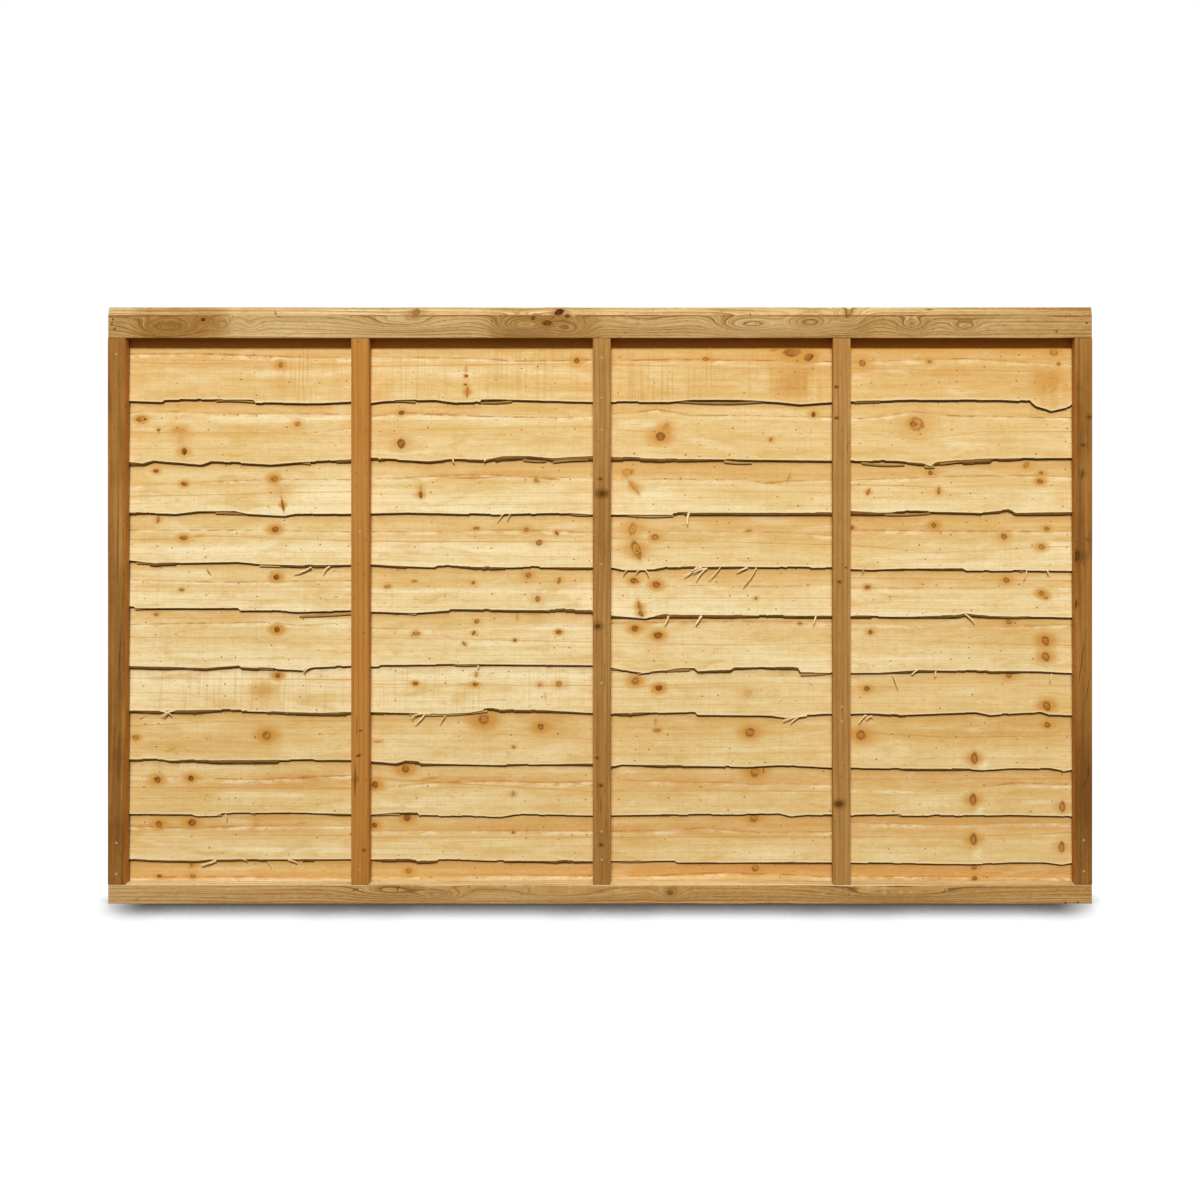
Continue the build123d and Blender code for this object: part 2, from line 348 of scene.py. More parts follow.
class Patterns:
    """The node groups that the timber materials share."""

    def __init__(self) -> None:
        """Builds every group once."""
        self.rings = self._rings()
        self.fibres = self._fibres()
        self.specks = self._specks()
        self.knot = self._knot()
        self.end_grain = self._end_grain()

    def _rings(self) -> bpy.types.NodeTree:
        """Growth rings that fade in slowly, end in a thin dark line, and come and go along the grain."""
        inputs = {"Grain": ("Vector", (0, 0, 0)), "Spacing": ("Float", 0.01), "Waver": ("Float", 1.5),
                  "Sharpness": ("Float", 0.7), "Patchiness": ("Float", 0.5)}
        bench = GroupBench("Growth rings", inputs, ("Line", "Band"))
        given = bench.given
        along, across, seed = bench.split(given["Grain"])
        slow = bench.noise(bench.join(bench.times(along, 1.3), bench.times(across, 9.0), seed))
        waver = bench.about(slow, given["Waver"])
        phase = bench.plus(bench.sum("DIVIDE", across, given["Spacing"]), waver)
        part = bench.sum("FRACT", phase)
        start = given["Sharpness"]
        rise = bench.sum("DIVIDE", bench.minus(part, start), bench.minus(1.0, start), clamp=True)
        fall = bench.span(part, 0.94, 1.0, 1.0, 0.0)
        line = bench.times(bench.sum("POWER", rise, 1.6), fall)
        patch = bench.noise(bench.join(bench.times(along, 4.0), bench.times(across, 60.0), seed))
        shown = bench.minus(1.0, bench.times(given["Patchiness"], bench.span(patch, 0.62, 0.38)))
        bench.feed(bench.result["Line"], bench.times(line, shown, clamp=True))
        band = bench.times(part, shown)
        bench.feed(bench.result["Band"], band)
        return bench.tree

    def _fibres(self) -> bpy.types.NodeTree:
        """Fibres, wider streaks and mottle about 0.5, and short dashes, dark above 0 and pale below."""
        inputs = {"Grain": ("Vector", (0, 0, 0)), "Fine": ("Float", 420.0), "Wide": ("Float", 90.0),
                  "Length": ("Float", 7.0)}
        bench = GroupBench("Fibres", inputs, ("Fine", "Wide", "Mottle", "Fleck"))
        given = bench.given
        along, across, seed = bench.split(given["Grain"])
        run = bench.times(along, given["Length"])
        fine = bench.noise(bench.join(run, bench.times(across, given["Fine"]), seed), detail=3, rough=0.6)
        far = bench.times(run, 0.4)
        wide = bench.noise(bench.join(far, bench.times(across, given["Wide"]), seed), detail=2)
        mottle = bench.noise(bench.join(bench.times(along, 45.0), bench.times(across, 110.0), seed), detail=3,
                             rough=0.6)
        dash = bench.noise(bench.join(bench.times(along, 95.0), bench.times(across, 460.0), seed), detail=1.0)
        fleck = bench.minus(bench.span(dash, 0.6, 0.76), bench.span(dash, 0.4, 0.24))
        for name, value in (("Fine", fine), ("Wide", wide), ("Mottle", mottle), ("Fleck", fleck)):
            bench.feed(bench.result[name], value)
        return bench.tree

    def _specks(self) -> bpy.types.NodeTree:
        """Small dark pin specks, in some of the cells of a scattered grid."""
        inputs = {"Grain": ("Vector", (0, 0, 0)), "Cells": ("Float", 42.0), "Share": ("Float", 0.3),
                  "Radius": ("Float", 0.0011)}
        bench = GroupBench("Pin specks", inputs, ("Mask",))
        given = bench.given
        along, across, seed = bench.split(given["Grain"])
        place = bench.join(bench.times(along, 0.8), across, seed)
        cells = bench.add("ShaderNodeTexVoronoi", {"Vector": place, "Scale": given["Cells"]},
                          voronoi_dimensions="2D")
        pick, size, _ = bench.split(cells.outputs["Color"])
        chosen = bench.sum("LESS_THAN", pick, given["Share"])
        reach = bench.times(bench.times(given["Radius"], given["Cells"]),
                            bench.span(size, 0.0, 1.0, 0.5, 1.5, smooth=False))
        near = bench.minus(1.0, bench.sum("DIVIDE", cells.outputs["Distance"], reach), clamp=True)
        bench.feed(bench.result["Mask"], bench.times(chosen, bench.span(near, 0.0, 0.6)))
        return bench.tree

    def _knot(self) -> bpy.types.NodeTree:
        """One knot, read from the attributes that give its place and its form."""
        inputs = {"Position": ("Vector", (0, 0, 0)), "Place": ("Vector", (0, 0, 0)),
                  "Form": ("Vector", (0, 0, 0)), "Glow": ("Float", 1.0)}
        bench = GroupBench("Knot", inputs, ("Core", "Rim", "Halo", "Rings", "Eye"))
        given = bench.given
        x, _, z = bench.split(given["Position"])
        centre_x, centre_z, radius = bench.split(given["Place"])
        ratio, slant, shade = bench.split(given["Form"])
        away_x, away_z = bench.minus(x, centre_x), bench.minus(z, centre_z)
        turn, lift = bench.sum("COSINE", slant), bench.sum("SINE", slant)
        far = bench.plus(bench.times(away_x, turn), bench.times(away_z, lift))
        side = bench.minus(bench.times(away_z, turn), bench.times(away_x, lift))
        stretch = bench.join(bench.sum("DIVIDE", far, ratio), side)
        spread = bench.arrow("DIVIDE", stretch, bench.join(radius, radius, 1.0))
        rough = bench.noise(bench.arrow("ADD", spread, given["Place"]), 1.3, 2.0)
        reach = bench.add("ShaderNodeVectorMath", {0: spread}, operation="LENGTH").outputs["Value"]
        reach = bench.plus(reach, bench.about(rough, 0.7))
        soft = bench.span(ratio, 1.8, 3.5)
        core = bench.span(bench.plus(reach, bench.times(soft, 0.25)), 1.2, 0.6)
        rim = bench.times(bench.span(reach, 0.5, 0.9), bench.span(reach, 1.3, 0.95))
        rim = bench.times(rim, bench.span(soft, 0.0, 1.0, 1.0, 0.35))
        uneven = bench.noise(bench.arrow("ADD", spread, given["Place"]), 0.9, 1.0)
        rim = bench.times(rim, bench.span(uneven, 0.35, 0.6))
        wide = bench.join(bench.times(bench.sum("DIVIDE", away_x, radius), 0.42),
                          bench.times(bench.sum("DIVIDE", away_z, radius), 0.62))
        wide_reach = bench.add("ShaderNodeVectorMath", {0: wide}, operation="LENGTH").outputs["Value"]
        both = bench.sum("MINIMUM", wide_reach, bench.times(reach, 0.7))
        mixed = bench.plus(bench.times(wide_reach, 0.5), bench.times(both, 0.5))
        halo = bench.span(bench.plus(mixed, bench.about(rough, 0.5)), 2.1, 0.2)
        inner = bench.sum("SINE", bench.times(reach, 11.0))
        inner = bench.times(bench.span(inner, 0.1, 1.0), core)
        inner = bench.times(inner, bench.span(soft, 0.0, 1.0, 1.0, 0.3))
        shown = bench.sum("GREATER_THAN", radius, 0.00001)
        cover = bench.times(shown, bench.span(shade, 0.05, 0.5))
        stain = bench.times(bench.times(given["Glow"], shown), bench.span(shade, 0.0, 0.8, 0.14, 0.95))
        eye = bench.span(bench.plus(reach, bench.about(uneven, 1.2)), 0.75, 0.3)
        for name, value, share in (("Core", core, cover), ("Rim", rim, cover), ("Halo", halo, stain),
                                   ("Rings", inner, cover), ("Eye", eye, cover)):
            bench.feed(bench.result[name], bench.times(value, share, clamp=True))
        return bench.tree

    def _end_grain(self) -> bpy.types.NodeTree:
        """Arcs of growth rings on a sawn end."""
        inputs = {"Position": ("Vector", (0, 0, 0)), "Pith": ("Vector", (0, 0, 0)),
                  "Spacing": ("Float", 0.004)}
        bench = GroupBench("End grain", inputs, ("Ring",))
        given = bench.given
        away = bench.arrow("SUBTRACT", given["Position"], given["Pith"])
        reach = bench.add("ShaderNodeVectorMath", {0: away}, operation="LENGTH").outputs["Value"]
        reach = bench.plus(reach, bench.times(bench.noise(given["Position"], 60.0), 0.004))
        part = bench.sum("FRACT", bench.sum("DIVIDE", reach, given["Spacing"]))
        bench.feed(bench.result["Ring"], bench.times(part, bench.span(part, 1.0, 0.9)))
        return bench.tree


@dataclass(frozen=True)
class BoardFinish:
    """Sawn softwood of the boards, from deep amber to cream."""

    amber: tuple = paint(203, 152, 81)
    tan: tuple = paint(217, 171, 101)
    honey: tuple = paint(226, 189, 121)
    straw: tuple = paint(233, 204, 143)
    cream: tuple = paint(246, 227, 178)
    gold: tuple = paint(214, 172, 92)
    heart: tuple = paint(219, 160, 90)
    heart_line: tuple = paint(172, 98, 32)
    stain: tuple = paint(204, 140, 58)
    halo: tuple = paint(208, 150, 68)
    knot: tuple = paint(152, 89, 35)
    knot_dark: tuple = paint(100, 56, 20)
    speck: tuple = paint(150, 76, 4)
    bark: tuple = paint(170, 124, 60)
    # painted shade: the bark edge darkens towards its foot against the board below
    bark_foot_shade: tuple = paint(94, 61, 22)
    # painted shade: the dark crease just below the foot of the board above
    crease_shade: tuple = paint(116, 74, 26)
    # slat colour: the torn edge's brown, partly painted shade where the set-back slats lie in the lap's
    # shadow
    slat: tuple = paint(166, 122, 62)
    # painted shade: the softer darkening further below the board above
    lap_shade: tuple = paint(192, 140, 70)
    # painted shade: warm colours of board 1's band under the top rail, which lies inside the rail's shadow
    rail_shade: tuple = paint(228, 128, 30)
    rail_shade_foot: tuple = paint(255, 176, 74)
    roughness: float = 0.74
    specular: float = 0.08


@dataclass(frozen=True)
class RailFinish:
    """Weathered pale softwood of the rails."""

    deep: tuple = paint(160, 112, 50)
    middle: tuple = paint(200, 161, 101)
    orange: tuple = paint(204, 140, 62)
    pale: tuple = paint(230, 201, 148)
    line: tuple = paint(104, 66, 24)
    knot: tuple = paint(122, 76, 30)
    knot_dark: tuple = paint(46, 26, 12)
    speck: tuple = paint(70, 44, 20)
    end: tuple = paint(170, 124, 70)
    roughness: float = 0.78
    specular: float = 0.06


@dataclass(frozen=True)
class BattenFinish:
    """Stained softwood of the battens, brown at the ends of the panel and golden between."""

    brown: tuple = paint(126, 80, 31)
    tan: tuple = paint(166, 116, 56)
    light: tuple = paint(188, 142, 80)
    gold: tuple = paint(202, 132, 52)
    line: tuple = paint(96, 60, 24)
    speck: tuple = paint(74, 46, 20)
    end: tuple = paint(150, 100, 46)
    # painted light: the brighter colour of the battens' side faces
    inner: tuple = paint(206, 138, 60)
    roughness: float = 0.76
    specular: float = 0.07


@dataclass(frozen=True)
class NailFinish:
    """Steel of the nails."""

    bright: tuple = paint(196, 172, 132)
    dull: tuple = paint(112, 84, 52)
    roughness: float = 0.45


class TimberMaterials:
    """Makes the panel's materials."""

    def __init__(self, patterns: Patterns) -> None:
        """Takes the shared patterns."""
        self.patterns = patterns

    def _new(self, name: str, roughness: float,
             specular: float) -> tuple[bpy.types.Material, NodeBench, bpy.types.Node]:
        """Starts a material with a Principled shader.

        Args:
            name: The material's name.
            roughness: The shader's roughness.
            specular: The shader's specular level.

        Returns:
            The material, its bench and its shader.
        """
        material = bpy.data.materials.new(name)
        material.use_nodes = True
        bench = NodeBench(material.node_tree)
        shader = material.node_tree.nodes["Principled BSDF"]
        shader.inputs["Roughness"].default_value = roughness
        shader.inputs["Specular IOR Level"].default_value = specular
        return material, bench, shader

    def _knots(self, bench: NodeBench, colour: bpy.types.NodeSocket, stain: tuple, knot: tuple, dark: tuple,
               ) -> tuple[bpy.types.NodeSocket, bpy.types.NodeSocket]:
        """Lays a face's two nearest knots over a colour.

        Args:
            bench: The material's bench.
            colour: The colour under the knots.
            stain: The colour of the stain round a knot.
            knot: The colour of a knot's middle.
            dark: The colour of its rim.

        Returns:
            The colour with the knots, and a mask of their middles.
        """
        place = bench.add("ShaderNodeTexCoord").outputs["Object"]
        cores = []
        for letter in "ab":
            form = bench.attribute(f"knot_{letter}_form").outputs["Vector"]
            where = bench.attribute(f"knot_{letter}").outputs["Vector"]
            glow = bench.value(f"knot_{letter}_glow")
            feeds = {"Position": place, "Place": where, "Form": form, "Glow": glow}
            parts = bench.group(self.patterns.knot, feeds).outputs
            colour = bench.blend(parts["Halo"], colour, stain)
            shade = bench.split(form)[2]
            middle = bench.ramp(bench.minus(shade, bench.span(parts["Eye"], 0.0, 1.0, -0.12, 0.1)),
                                ((0.0, stain), (0.35, stain), (0.8, knot), (1.0, dark)))
            colour = bench.blend(parts["Core"], colour, middle)
            colour = bench.blend(bench.times(parts["Rings"], 0.35), colour, dark)
            colour = bench.blend(bench.times(parts["Rim"], bench.span(shade, 0.2, 0.8, 0.08, 0.45)), colour,
                                 dark)
            cores.append(parts["Core"])
        return colour, bench.sum("MAXIMUM", *cores)

    def board(self, finish: BoardFinish) -> bpy.types.Material:
        """Makes the boards' material.

        Args:
            finish: Its colours and gloss.

        Returns:
            The material.
        """
        material, bench, shader = self._new("Sawn waney board", finish.roughness, finish.specular)
        grain = bench.attribute("grain").outputs["Vector"]
        tone = bench.value("tone")
        heart = bench.value("heart")
        bark = bench.value("bark")
        sawn = bench.value("saw")
        warm = bench.value("warm")
        cover = bench.value("cover")
        rail_shade = bench.value("rail_shade")
        fibres = bench.group(self.patterns.fibres, {"Grain": grain}).outputs
        rings = bench.group(self.patterns.rings, {"Grain": grain, "Spacing": 0.0125, "Waver": 2.6}).outputs
        wide = bench.about(fibres["Wide"], 0.5)
        fine = bench.about(fibres["Fine"], 0.34)
        mottle = bench.about(fibres["Mottle"], 0.4)
        shift = bench.plus(bench.plus(wide, fine), mottle)
        stops = ((0.0, finish.amber), (0.22, finish.tan), (0.47, finish.honey), (0.72, finish.straw),
                 (1.0, finish.cream))
        colour = bench.ramp(bench.plus(tone, shift), stops)
        along, across, seed = bench.split(grain)
        cloud = bench.noise(bench.join(bench.times(along, 11.0), bench.times(across, 42.0), seed), detail=3.0,
                            rough=0.55, distortion=0.6)
        colour = bench.blend(bench.span(cloud, 0.5, 0.72, 0.0, 0.55), colour, finish.gold)
        colour = bench.blend(bench.span(cloud, 0.5, 0.28, 0.0, 0.4), colour, finish.cream)
        broad = bench.noise(bench.join(bench.times(along, 1.7), bench.times(across, 62.0), seed), detail=3.0,
                            rough=0.6)
        reds = bench.times(warm, bench.span(broad, 0.36, 0.6))
        colour = bench.blend(bench.times(reds, 0.75), colour, finish.heart)
        edge = bench.plus(heart, bench.about(fibres["Wide"], 0.006))
        line = bench.times(bench.span(edge, -0.0014, 0.0), bench.span(edge, 0.0034, 0.0003))
        broken = bench.times(bench.span(fibres["Mottle"], 0.36, 0.62), bench.span(broad, 0.32, 0.58))
        colour = bench.blend(bench.times(bench.times(line, broken), 0.75), colour, finish.heart_line)
        below = bench.times(bench.span(edge, -0.0105, -0.004), bench.span(edge, -0.0004, -0.0016))
        gaps = bench.times(below, bench.span(fibres["Mottle"], 0.62, 0.46))
        gaps = bench.times(gaps, bench.span(bench.noise(bench.times(along, 5.0)), 0.42, 0.58, 0.25, 1.0))
        colour = bench.blend(bench.times(gaps, 0.75), colour, finish.cream)
        colour = bench.blend(bench.times(rings["Line"], 0.42), colour, finish.stain)
        close = {"Grain": grain, "Spacing": 0.0046, "Waver": 4.2, "Sharpness": 0.6, "Patchiness": 1.0}
        narrow = bench.group(self.patterns.rings, close).outputs
        colour = bench.blend(bench.times(narrow["Line"], 0.26), colour, finish.stain)
        vein = bench.plus(bench.value("vein"), bench.about(fibres["Wide"], 0.004))
        thread = bench.times(bench.span(vein, -0.0016, 0.0), bench.span(vein, 0.0016, 0.0))
        thread = bench.times(thread, bench.span(broad, 0.3, 0.6, 0.15, 0.8))
        colour = bench.blend(thread, colour, finish.stain)
        fleck = bench.times(fibres["Fleck"], 0.4)
        colour = bench.blend(bench.times(fleck, 1.0, clamp=True), colour, finish.stain)
        colour = bench.blend(bench.times(fleck, -0.5, clamp=True), colour, finish.cream)
        teeth = bench.noise(bench.join(bench.times(along, 250.0), bench.times(across, 9.0), seed), detail=1.0)
        groove = bench.times(bench.span(teeth, 0.5, 0.66), sawn)
        colour = bench.blend(bench.times(groove, 0.4), colour, finish.stain)
        colour, cores = self._knots(bench, colour, finish.halo, finish.knot, finish.knot_dark)
        specks = bench.group(self.patterns.specks,
                             {"Grain": grain, "Radius": 0.0013, "Share": 0.42}).outputs["Mask"]
        colour = bench.blend(bench.times(specks, 0.95), colour, finish.speck)
        # painted shade below the lap of the board above: a soft mottled darkening, then a tight dark crease
        # right under it
        soft = bench.span(cover, -0.016, 0.0, 0.0, 1.0)
        colour = bench.blend(bench.times(soft, bench.span(fibres["Mottle"], 0.3, 0.7, 0.15, 0.55)), colour,
                             finish.lap_shade)
        tight = bench.sum("POWER", bench.span(cover, -0.0042, 0.0004, 0.0, 1.0, smooth=False), 1.7)
        colour = bench.blend(bench.times(tight, 0.8), colour, finish.crease_shade)
        # painted shade under the top rail on board 1: a soft darker stain just below the band, then the warm
        # band colours
        band = bench.plus(rail_shade, bench.about(fibres["Wide"], 0.002))
        dim = bench.blend(bench.span(band, 0.0, 0.013, smooth=False), finish.rail_shade_foot, finish.rail_shade)
        colour = bench.blend(bench.span(band, -0.009, -0.001, 0.0, 0.32), colour, finish.stain)
        colour = bench.blend(bench.times(bench.span(band, -0.0022, 0.0006), 0.9), colour, dim)
        rough = bench.noise(bench.join(bench.times(along, 50.0), bench.times(across, 300.0), seed),
                            detail=3.0)
        # the bark edge darkens towards its foot: painted shade where it meets the board below
        darkening_share = bench.plus(bark, bench.about(rough, 0.7))
        edge_colour = bench.blend(bench.span(darkening_share, 0.35, 0.95), finish.bark, finish.bark_foot_shade)
        # painted highlight: a cream line along the board's lower front edge
        colour = bench.blend(bench.times(bench.value("edge_highlight"), 0.6), colour, finish.cream)
        colour = bench.blend(bench.span(bark, 0.02, 0.22), colour, edge_colour)
        # slats: torn-edge brown, partly painted shade for their place in the lap's shadow
        colour = bench.blend(bench.span(bark, -0.1, -0.8), colour, finish.slat)
        bench.feed(shader.inputs["Base Color"], colour)
        height = bench.plus(fibres["Fine"], bench.times(rings["Band"], 0.25))
        height = bench.minus(height, bench.times(groove, 0.7))
        height = bench.plus(height, bench.times(cores, 0.3))
        bump = bench.add("ShaderNodeBump", {"Strength": 0.36, "Distance": 0.0009, "Height": height})
        bench.feed(shader.inputs["Normal"], bump.outputs[0])
        return material

    def rail(self, finish: RailFinish) -> bpy.types.Material:
        """Makes the rails' material.

        Args:
            finish: Its colours and gloss.

        Returns:
            The material.
        """
        material, bench, shader = self._new("Weathered rail timber", finish.roughness, finish.specular)
        grain = bench.attribute("grain").outputs["Vector"]
        tone = bench.value("tone")
        cut = bench.value("cut_end")
        fibres = bench.group(self.patterns.fibres, {"Grain": grain, "Fine": 620.0, "Wide": 150.0}).outputs
        feeds = {"Grain": grain, "Spacing": 0.0072, "Waver": 1.6, "Sharpness": 0.6, "Patchiness": 0.6}
        rings = bench.group(self.patterns.rings, feeds).outputs
        wide = bench.about(fibres["Wide"], 0.85)
        fine = bench.about(fibres["Fine"], 0.45)
        mottle = bench.about(fibres["Mottle"], 0.4)
        shift = bench.plus(bench.plus(wide, fine), mottle)
        colour = bench.ramp(bench.plus(tone, shift),
                            ((0.0, finish.deep), (0.5, finish.middle), (1.0, finish.pale)))
        colour = bench.blend(bench.value("orange"), colour, finish.orange)
        close = {"Grain": grain, "Spacing": 0.0027, "Waver": 3.2, "Sharpness": 0.5, "Patchiness": 0.8}
        narrow = bench.group(self.patterns.rings, close).outputs
        figure = bench.value("figure")
        colour = bench.blend(bench.times(rings["Band"], bench.span(figure, 0.0, 1.0, 0.4, 0.75)), colour,
                             finish.deep)
        colour = bench.blend(bench.times(rings["Line"], 0.8), colour, finish.line)
        colour = bench.blend(bench.times(narrow["Line"], bench.span(figure, 0.0, 1.0, 0.3, 0.75)), colour,
                             finish.line)
        fleck = bench.times(fibres["Fleck"], 0.35)
        colour = bench.blend(bench.times(fleck, 1.0, clamp=True), colour, finish.line)
        colour = bench.blend(bench.times(fleck, -1.0, clamp=True), colour, finish.pale)
        colour, _ = self._knots(bench, colour, finish.deep, finish.knot, finish.knot_dark)
        specks = bench.group(self.patterns.specks,
                             {"Grain": grain, "Cells": 55.0, "Share": 0.35}).outputs["Mask"]
        colour = bench.blend(bench.times(specks, 0.7), colour, finish.speck)
        place = bench.add("ShaderNodeTexCoord").outputs["Object"]
        flat = bench.arrow("MULTIPLY", place, (0.0, 1.0, 1.0))
        ring = bench.group(self.patterns.end_grain,
                           {"Position": flat, "Pith": (0.0, 0.012, 1.02)}).outputs["Ring"]
        end = bench.blend(bench.times(ring, 0.5), finish.end, finish.line)
        colour = bench.blend(cut, colour, end)
        bench.feed(shader.inputs["Base Color"], colour)
        height = bench.plus(fibres["Fine"], bench.times(rings["Line"], -0.6))
        height = bench.minus(height, bench.times(narrow["Line"], 0.4))
        bump = bench.add("ShaderNodeBump", {"Strength": 0.7, "Distance": 0.0014, "Height": height})
        bench.feed(shader.inputs["Normal"], bump.outputs[0])
        return material

    def batten(self, finish: BattenFinish) -> bpy.types.Material:
        """Makes the battens' material.

        Args:
            finish: Its colours and gloss.

        Returns:
            The material.
        """
        material, bench, shader = self._new("Stained batten timber", finish.roughness, finish.specular)
        grain = bench.attribute("grain").outputs["Vector"]
        tone = bench.value("tone")
        gold = bench.value("gold")
        cut = bench.value("cut_end")
        fibres = bench.group(self.patterns.fibres,
                             {"Grain": grain, "Fine": 520.0, "Wide": 130.0, "Length": 9.0}).outputs
        feeds = {"Grain": grain, "Spacing": 0.009, "Waver": 2.4, "Sharpness": 0.5, "Patchiness": 0.6}
        rings = bench.group(self.patterns.rings, feeds).outputs
        wide = bench.about(fibres["Wide"], 0.95)
        fine = bench.about(fibres["Fine"], 0.6)
        mottle = bench.about(fibres["Mottle"], 0.45)
        shift = bench.plus(bench.plus(wide, fine), mottle)
        colour = bench.ramp(bench.plus(tone, shift),
                            ((0.0, finish.brown), (0.5, finish.tan), (1.0, finish.light)))
        colour = bench.blend(bench.times(gold, 0.7), colour, finish.gold)
        colour = bench.blend(bench.times(rings["Line"], 0.45), colour, finish.line)
        specks = bench.group(self.patterns.specks,
                             {"Grain": grain, "Cells": 60.0, "Share": 0.4}).outputs["Mask"]
        colour = bench.blend(bench.times(specks, 0.6), colour, finish.speck)
        colour, _ = self._knots(bench, colour, finish.brown, finish.line, finish.speck)
        # painted light: side faces blended to a brighter orange
        colour = bench.blend(bench.value("inner"), colour, finish.inner)
        place = bench.add("ShaderNodeTexCoord").outputs["Object"]
        flat = bench.arrow("MULTIPLY", place, (1.0, 1.0, 0.0))
        ring = bench.group(self.patterns.end_grain,
                           {"Position": flat, "Pith": (0.0, 0.0, 0.0)}).outputs["Ring"]
        end = bench.blend(bench.times(ring, 0.5), finish.end, finish.line)
        colour = bench.blend(cut, colour, end)
        bench.feed(shader.inputs["Base Color"], colour)
        height = bench.plus(fibres["Fine"], bench.times(rings["Line"], -0.5))
        height = bench.minus(height, specks)
        bump = bench.add("ShaderNodeBump", {"Strength": 0.55, "Distance": 0.001, "Height": height})
        bench.feed(shader.inputs["Normal"], bump.outputs[0])
        return material

    def nail(self, name: str, finish: NailFinish, rust: float) -> bpy.types.Material:
        """Makes a nail's material.

        Args:
            name: The material's name.
            finish: Its colours and gloss.
            rust: How much of the dull colour shows.

        Returns:
            The material.
        """
        material, bench, shader = self._new(name, finish.roughness, 0.5)
        shader.inputs["Metallic"].default_value = 0.55
        place = bench.add("ShaderNodeTexCoord").outputs["Object"]
        patch = bench.noise(place, 900.0, 3.0)
        share = bench.span(patch, 0.75 - rust, 1.0 - rust)
        bench.feed(shader.inputs["Base Color"], bench.blend(share, finish.bright, finish.dull))
        bench.feed(shader.inputs["Roughness"], bench.span(patch, 0.2, 0.8, 0.25, 0.6, smooth=False))
        return material


def shape(name: str, bm: bmesh.types.BMesh, material: bpy.types.Material,
          node: str) -> bpy.types.Object:
    """Makes the finished object of one piece.

    Args:
        name: The piece's name.
        bm: Its shape, which is freed.
        material: Its material.
        node: The solid that it stands for.

    Returns:
        The object, which rides on the panel's body.
    """
    mesh = bpy.data.meshes.new(name)
    bmesh.ops.recalc_face_normals(bm, faces=bm.faces[:])
    bm.to_mesh(mesh)
    bm.free()
    mesh.materials.append(material)
    piece = bpy.data.objects.new(name, mesh)
    bpy.context.scene.collection.objects.link(piece)
    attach(piece, BODY)
    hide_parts(node)
    return piece


def points_of(mesh: bpy.types.Mesh) -> np.ndarray:
    """Gives a mesh's vertices as rows of x, y and z."""
    places = np.empty(len(mesh.vertices) * 3)
    mesh.vertices.foreach_get("co", places)
    return places.reshape(-1, 3)


def centres_of(mesh: bpy.types.Mesh) -> np.ndarray:
    """Gives the middles of a mesh's faces as rows of x, y and z."""
    places = np.empty(len(mesh.polygons) * 3)
    mesh.polygons.foreach_get("center", places)
    return places.reshape(-1, 3)


def write(mesh: bpy.types.Mesh, name: str, values: np.ndarray, domain: str = "POINT") -> None:
    """Writes a number or a vector for each vertex or face.

    Args:
        mesh: The mesh that gets the attribute.
        name: The attribute's name.
        values: One row for each vertex or face.
        domain: POINT or FACE.
    """
    vector = values.ndim == 2
    layer = mesh.attributes.new(name, "FLOAT_VECTOR" if vector else "FLOAT", domain)
    layer.data.foreach_set("vector" if vector else "value", np.ascontiguousarray(values, np.float32).ravel())


class KnotMap:
    """The knots of one piece in panel places, and what each face shows of them."""

    def __init__(self, knots: Sequence[Knot], depth: float) -> None:
        """Places the knots.

        Args:
            knots: The piece's knots.
            depth: How far its face lies behind the front plane.
        """
        self.knots = list(knots)
        scale = VIEW.pixel * (1 + depth / VIEW.distance)
        self.x = np.array([VIEW.x_at(knot.x, depth) for knot in self.knots])
        self.z = np.array([VIEW.z_at(knot.y, depth) for knot in self.knots])
        self.radius = np.array([knot.radius * scale for knot in self.knots])

    def bulge(self, x: np.ndarray, z: np.ndarray) -> np.ndarray:
        """Gives how far the grain at each point is pushed aside by the knots."""
        shift = np.zeros_like(x)
        for knot, centre_x, centre_z, radius in zip(self.knots, self.x, self.z, self.radius):
            if knot.ratio > 2.5 or knot.shade < 0.3:
                continue
            away, up = (x - centre_x) / (3.0 * radius), (z - centre_z) / (2.2 * radius)
            shift -= (z - centre_z) * 0.8 * np.exp(-away * away - up * up)
        return shift

    def write(self, mesh: bpy.types.Mesh) -> None:
        """Writes the two nearest knots on each face."""
        middle = centres_of(mesh)
        count = len(middle)
        if self.knots:
            long = np.array([max(1.0, knot.ratio) for knot in self.knots])
            away = np.hypot(middle[:, :1] - self.x, middle[:, 2:] - self.z) / (self.radius * long)
            order = np.argsort(away, axis=1)
        for place, letter in enumerate("ab"):
            where, form, glow = np.zeros((count, 3)), np.zeros((count, 3)), np.zeros(count)
            form[:, 0] = 1.0
            if place < len(self.knots):
                pick = order[:, place]
                where = np.stack([self.x[pick], self.z[pick], self.radius[pick]], axis=1)
                forms = np.array([(knot.ratio, math.radians(knot.slant), knot.shade) for knot in self.knots])
                form = forms[pick]
                glow = np.array([knot.glow for knot in self.knots])[pick]
            write(mesh, f"knot_{letter}", where, "FACE")
            write(mesh, f"knot_{letter}_form", form, "FACE")
            write(mesh, f"knot_{letter}_glow", glow, "FACE")


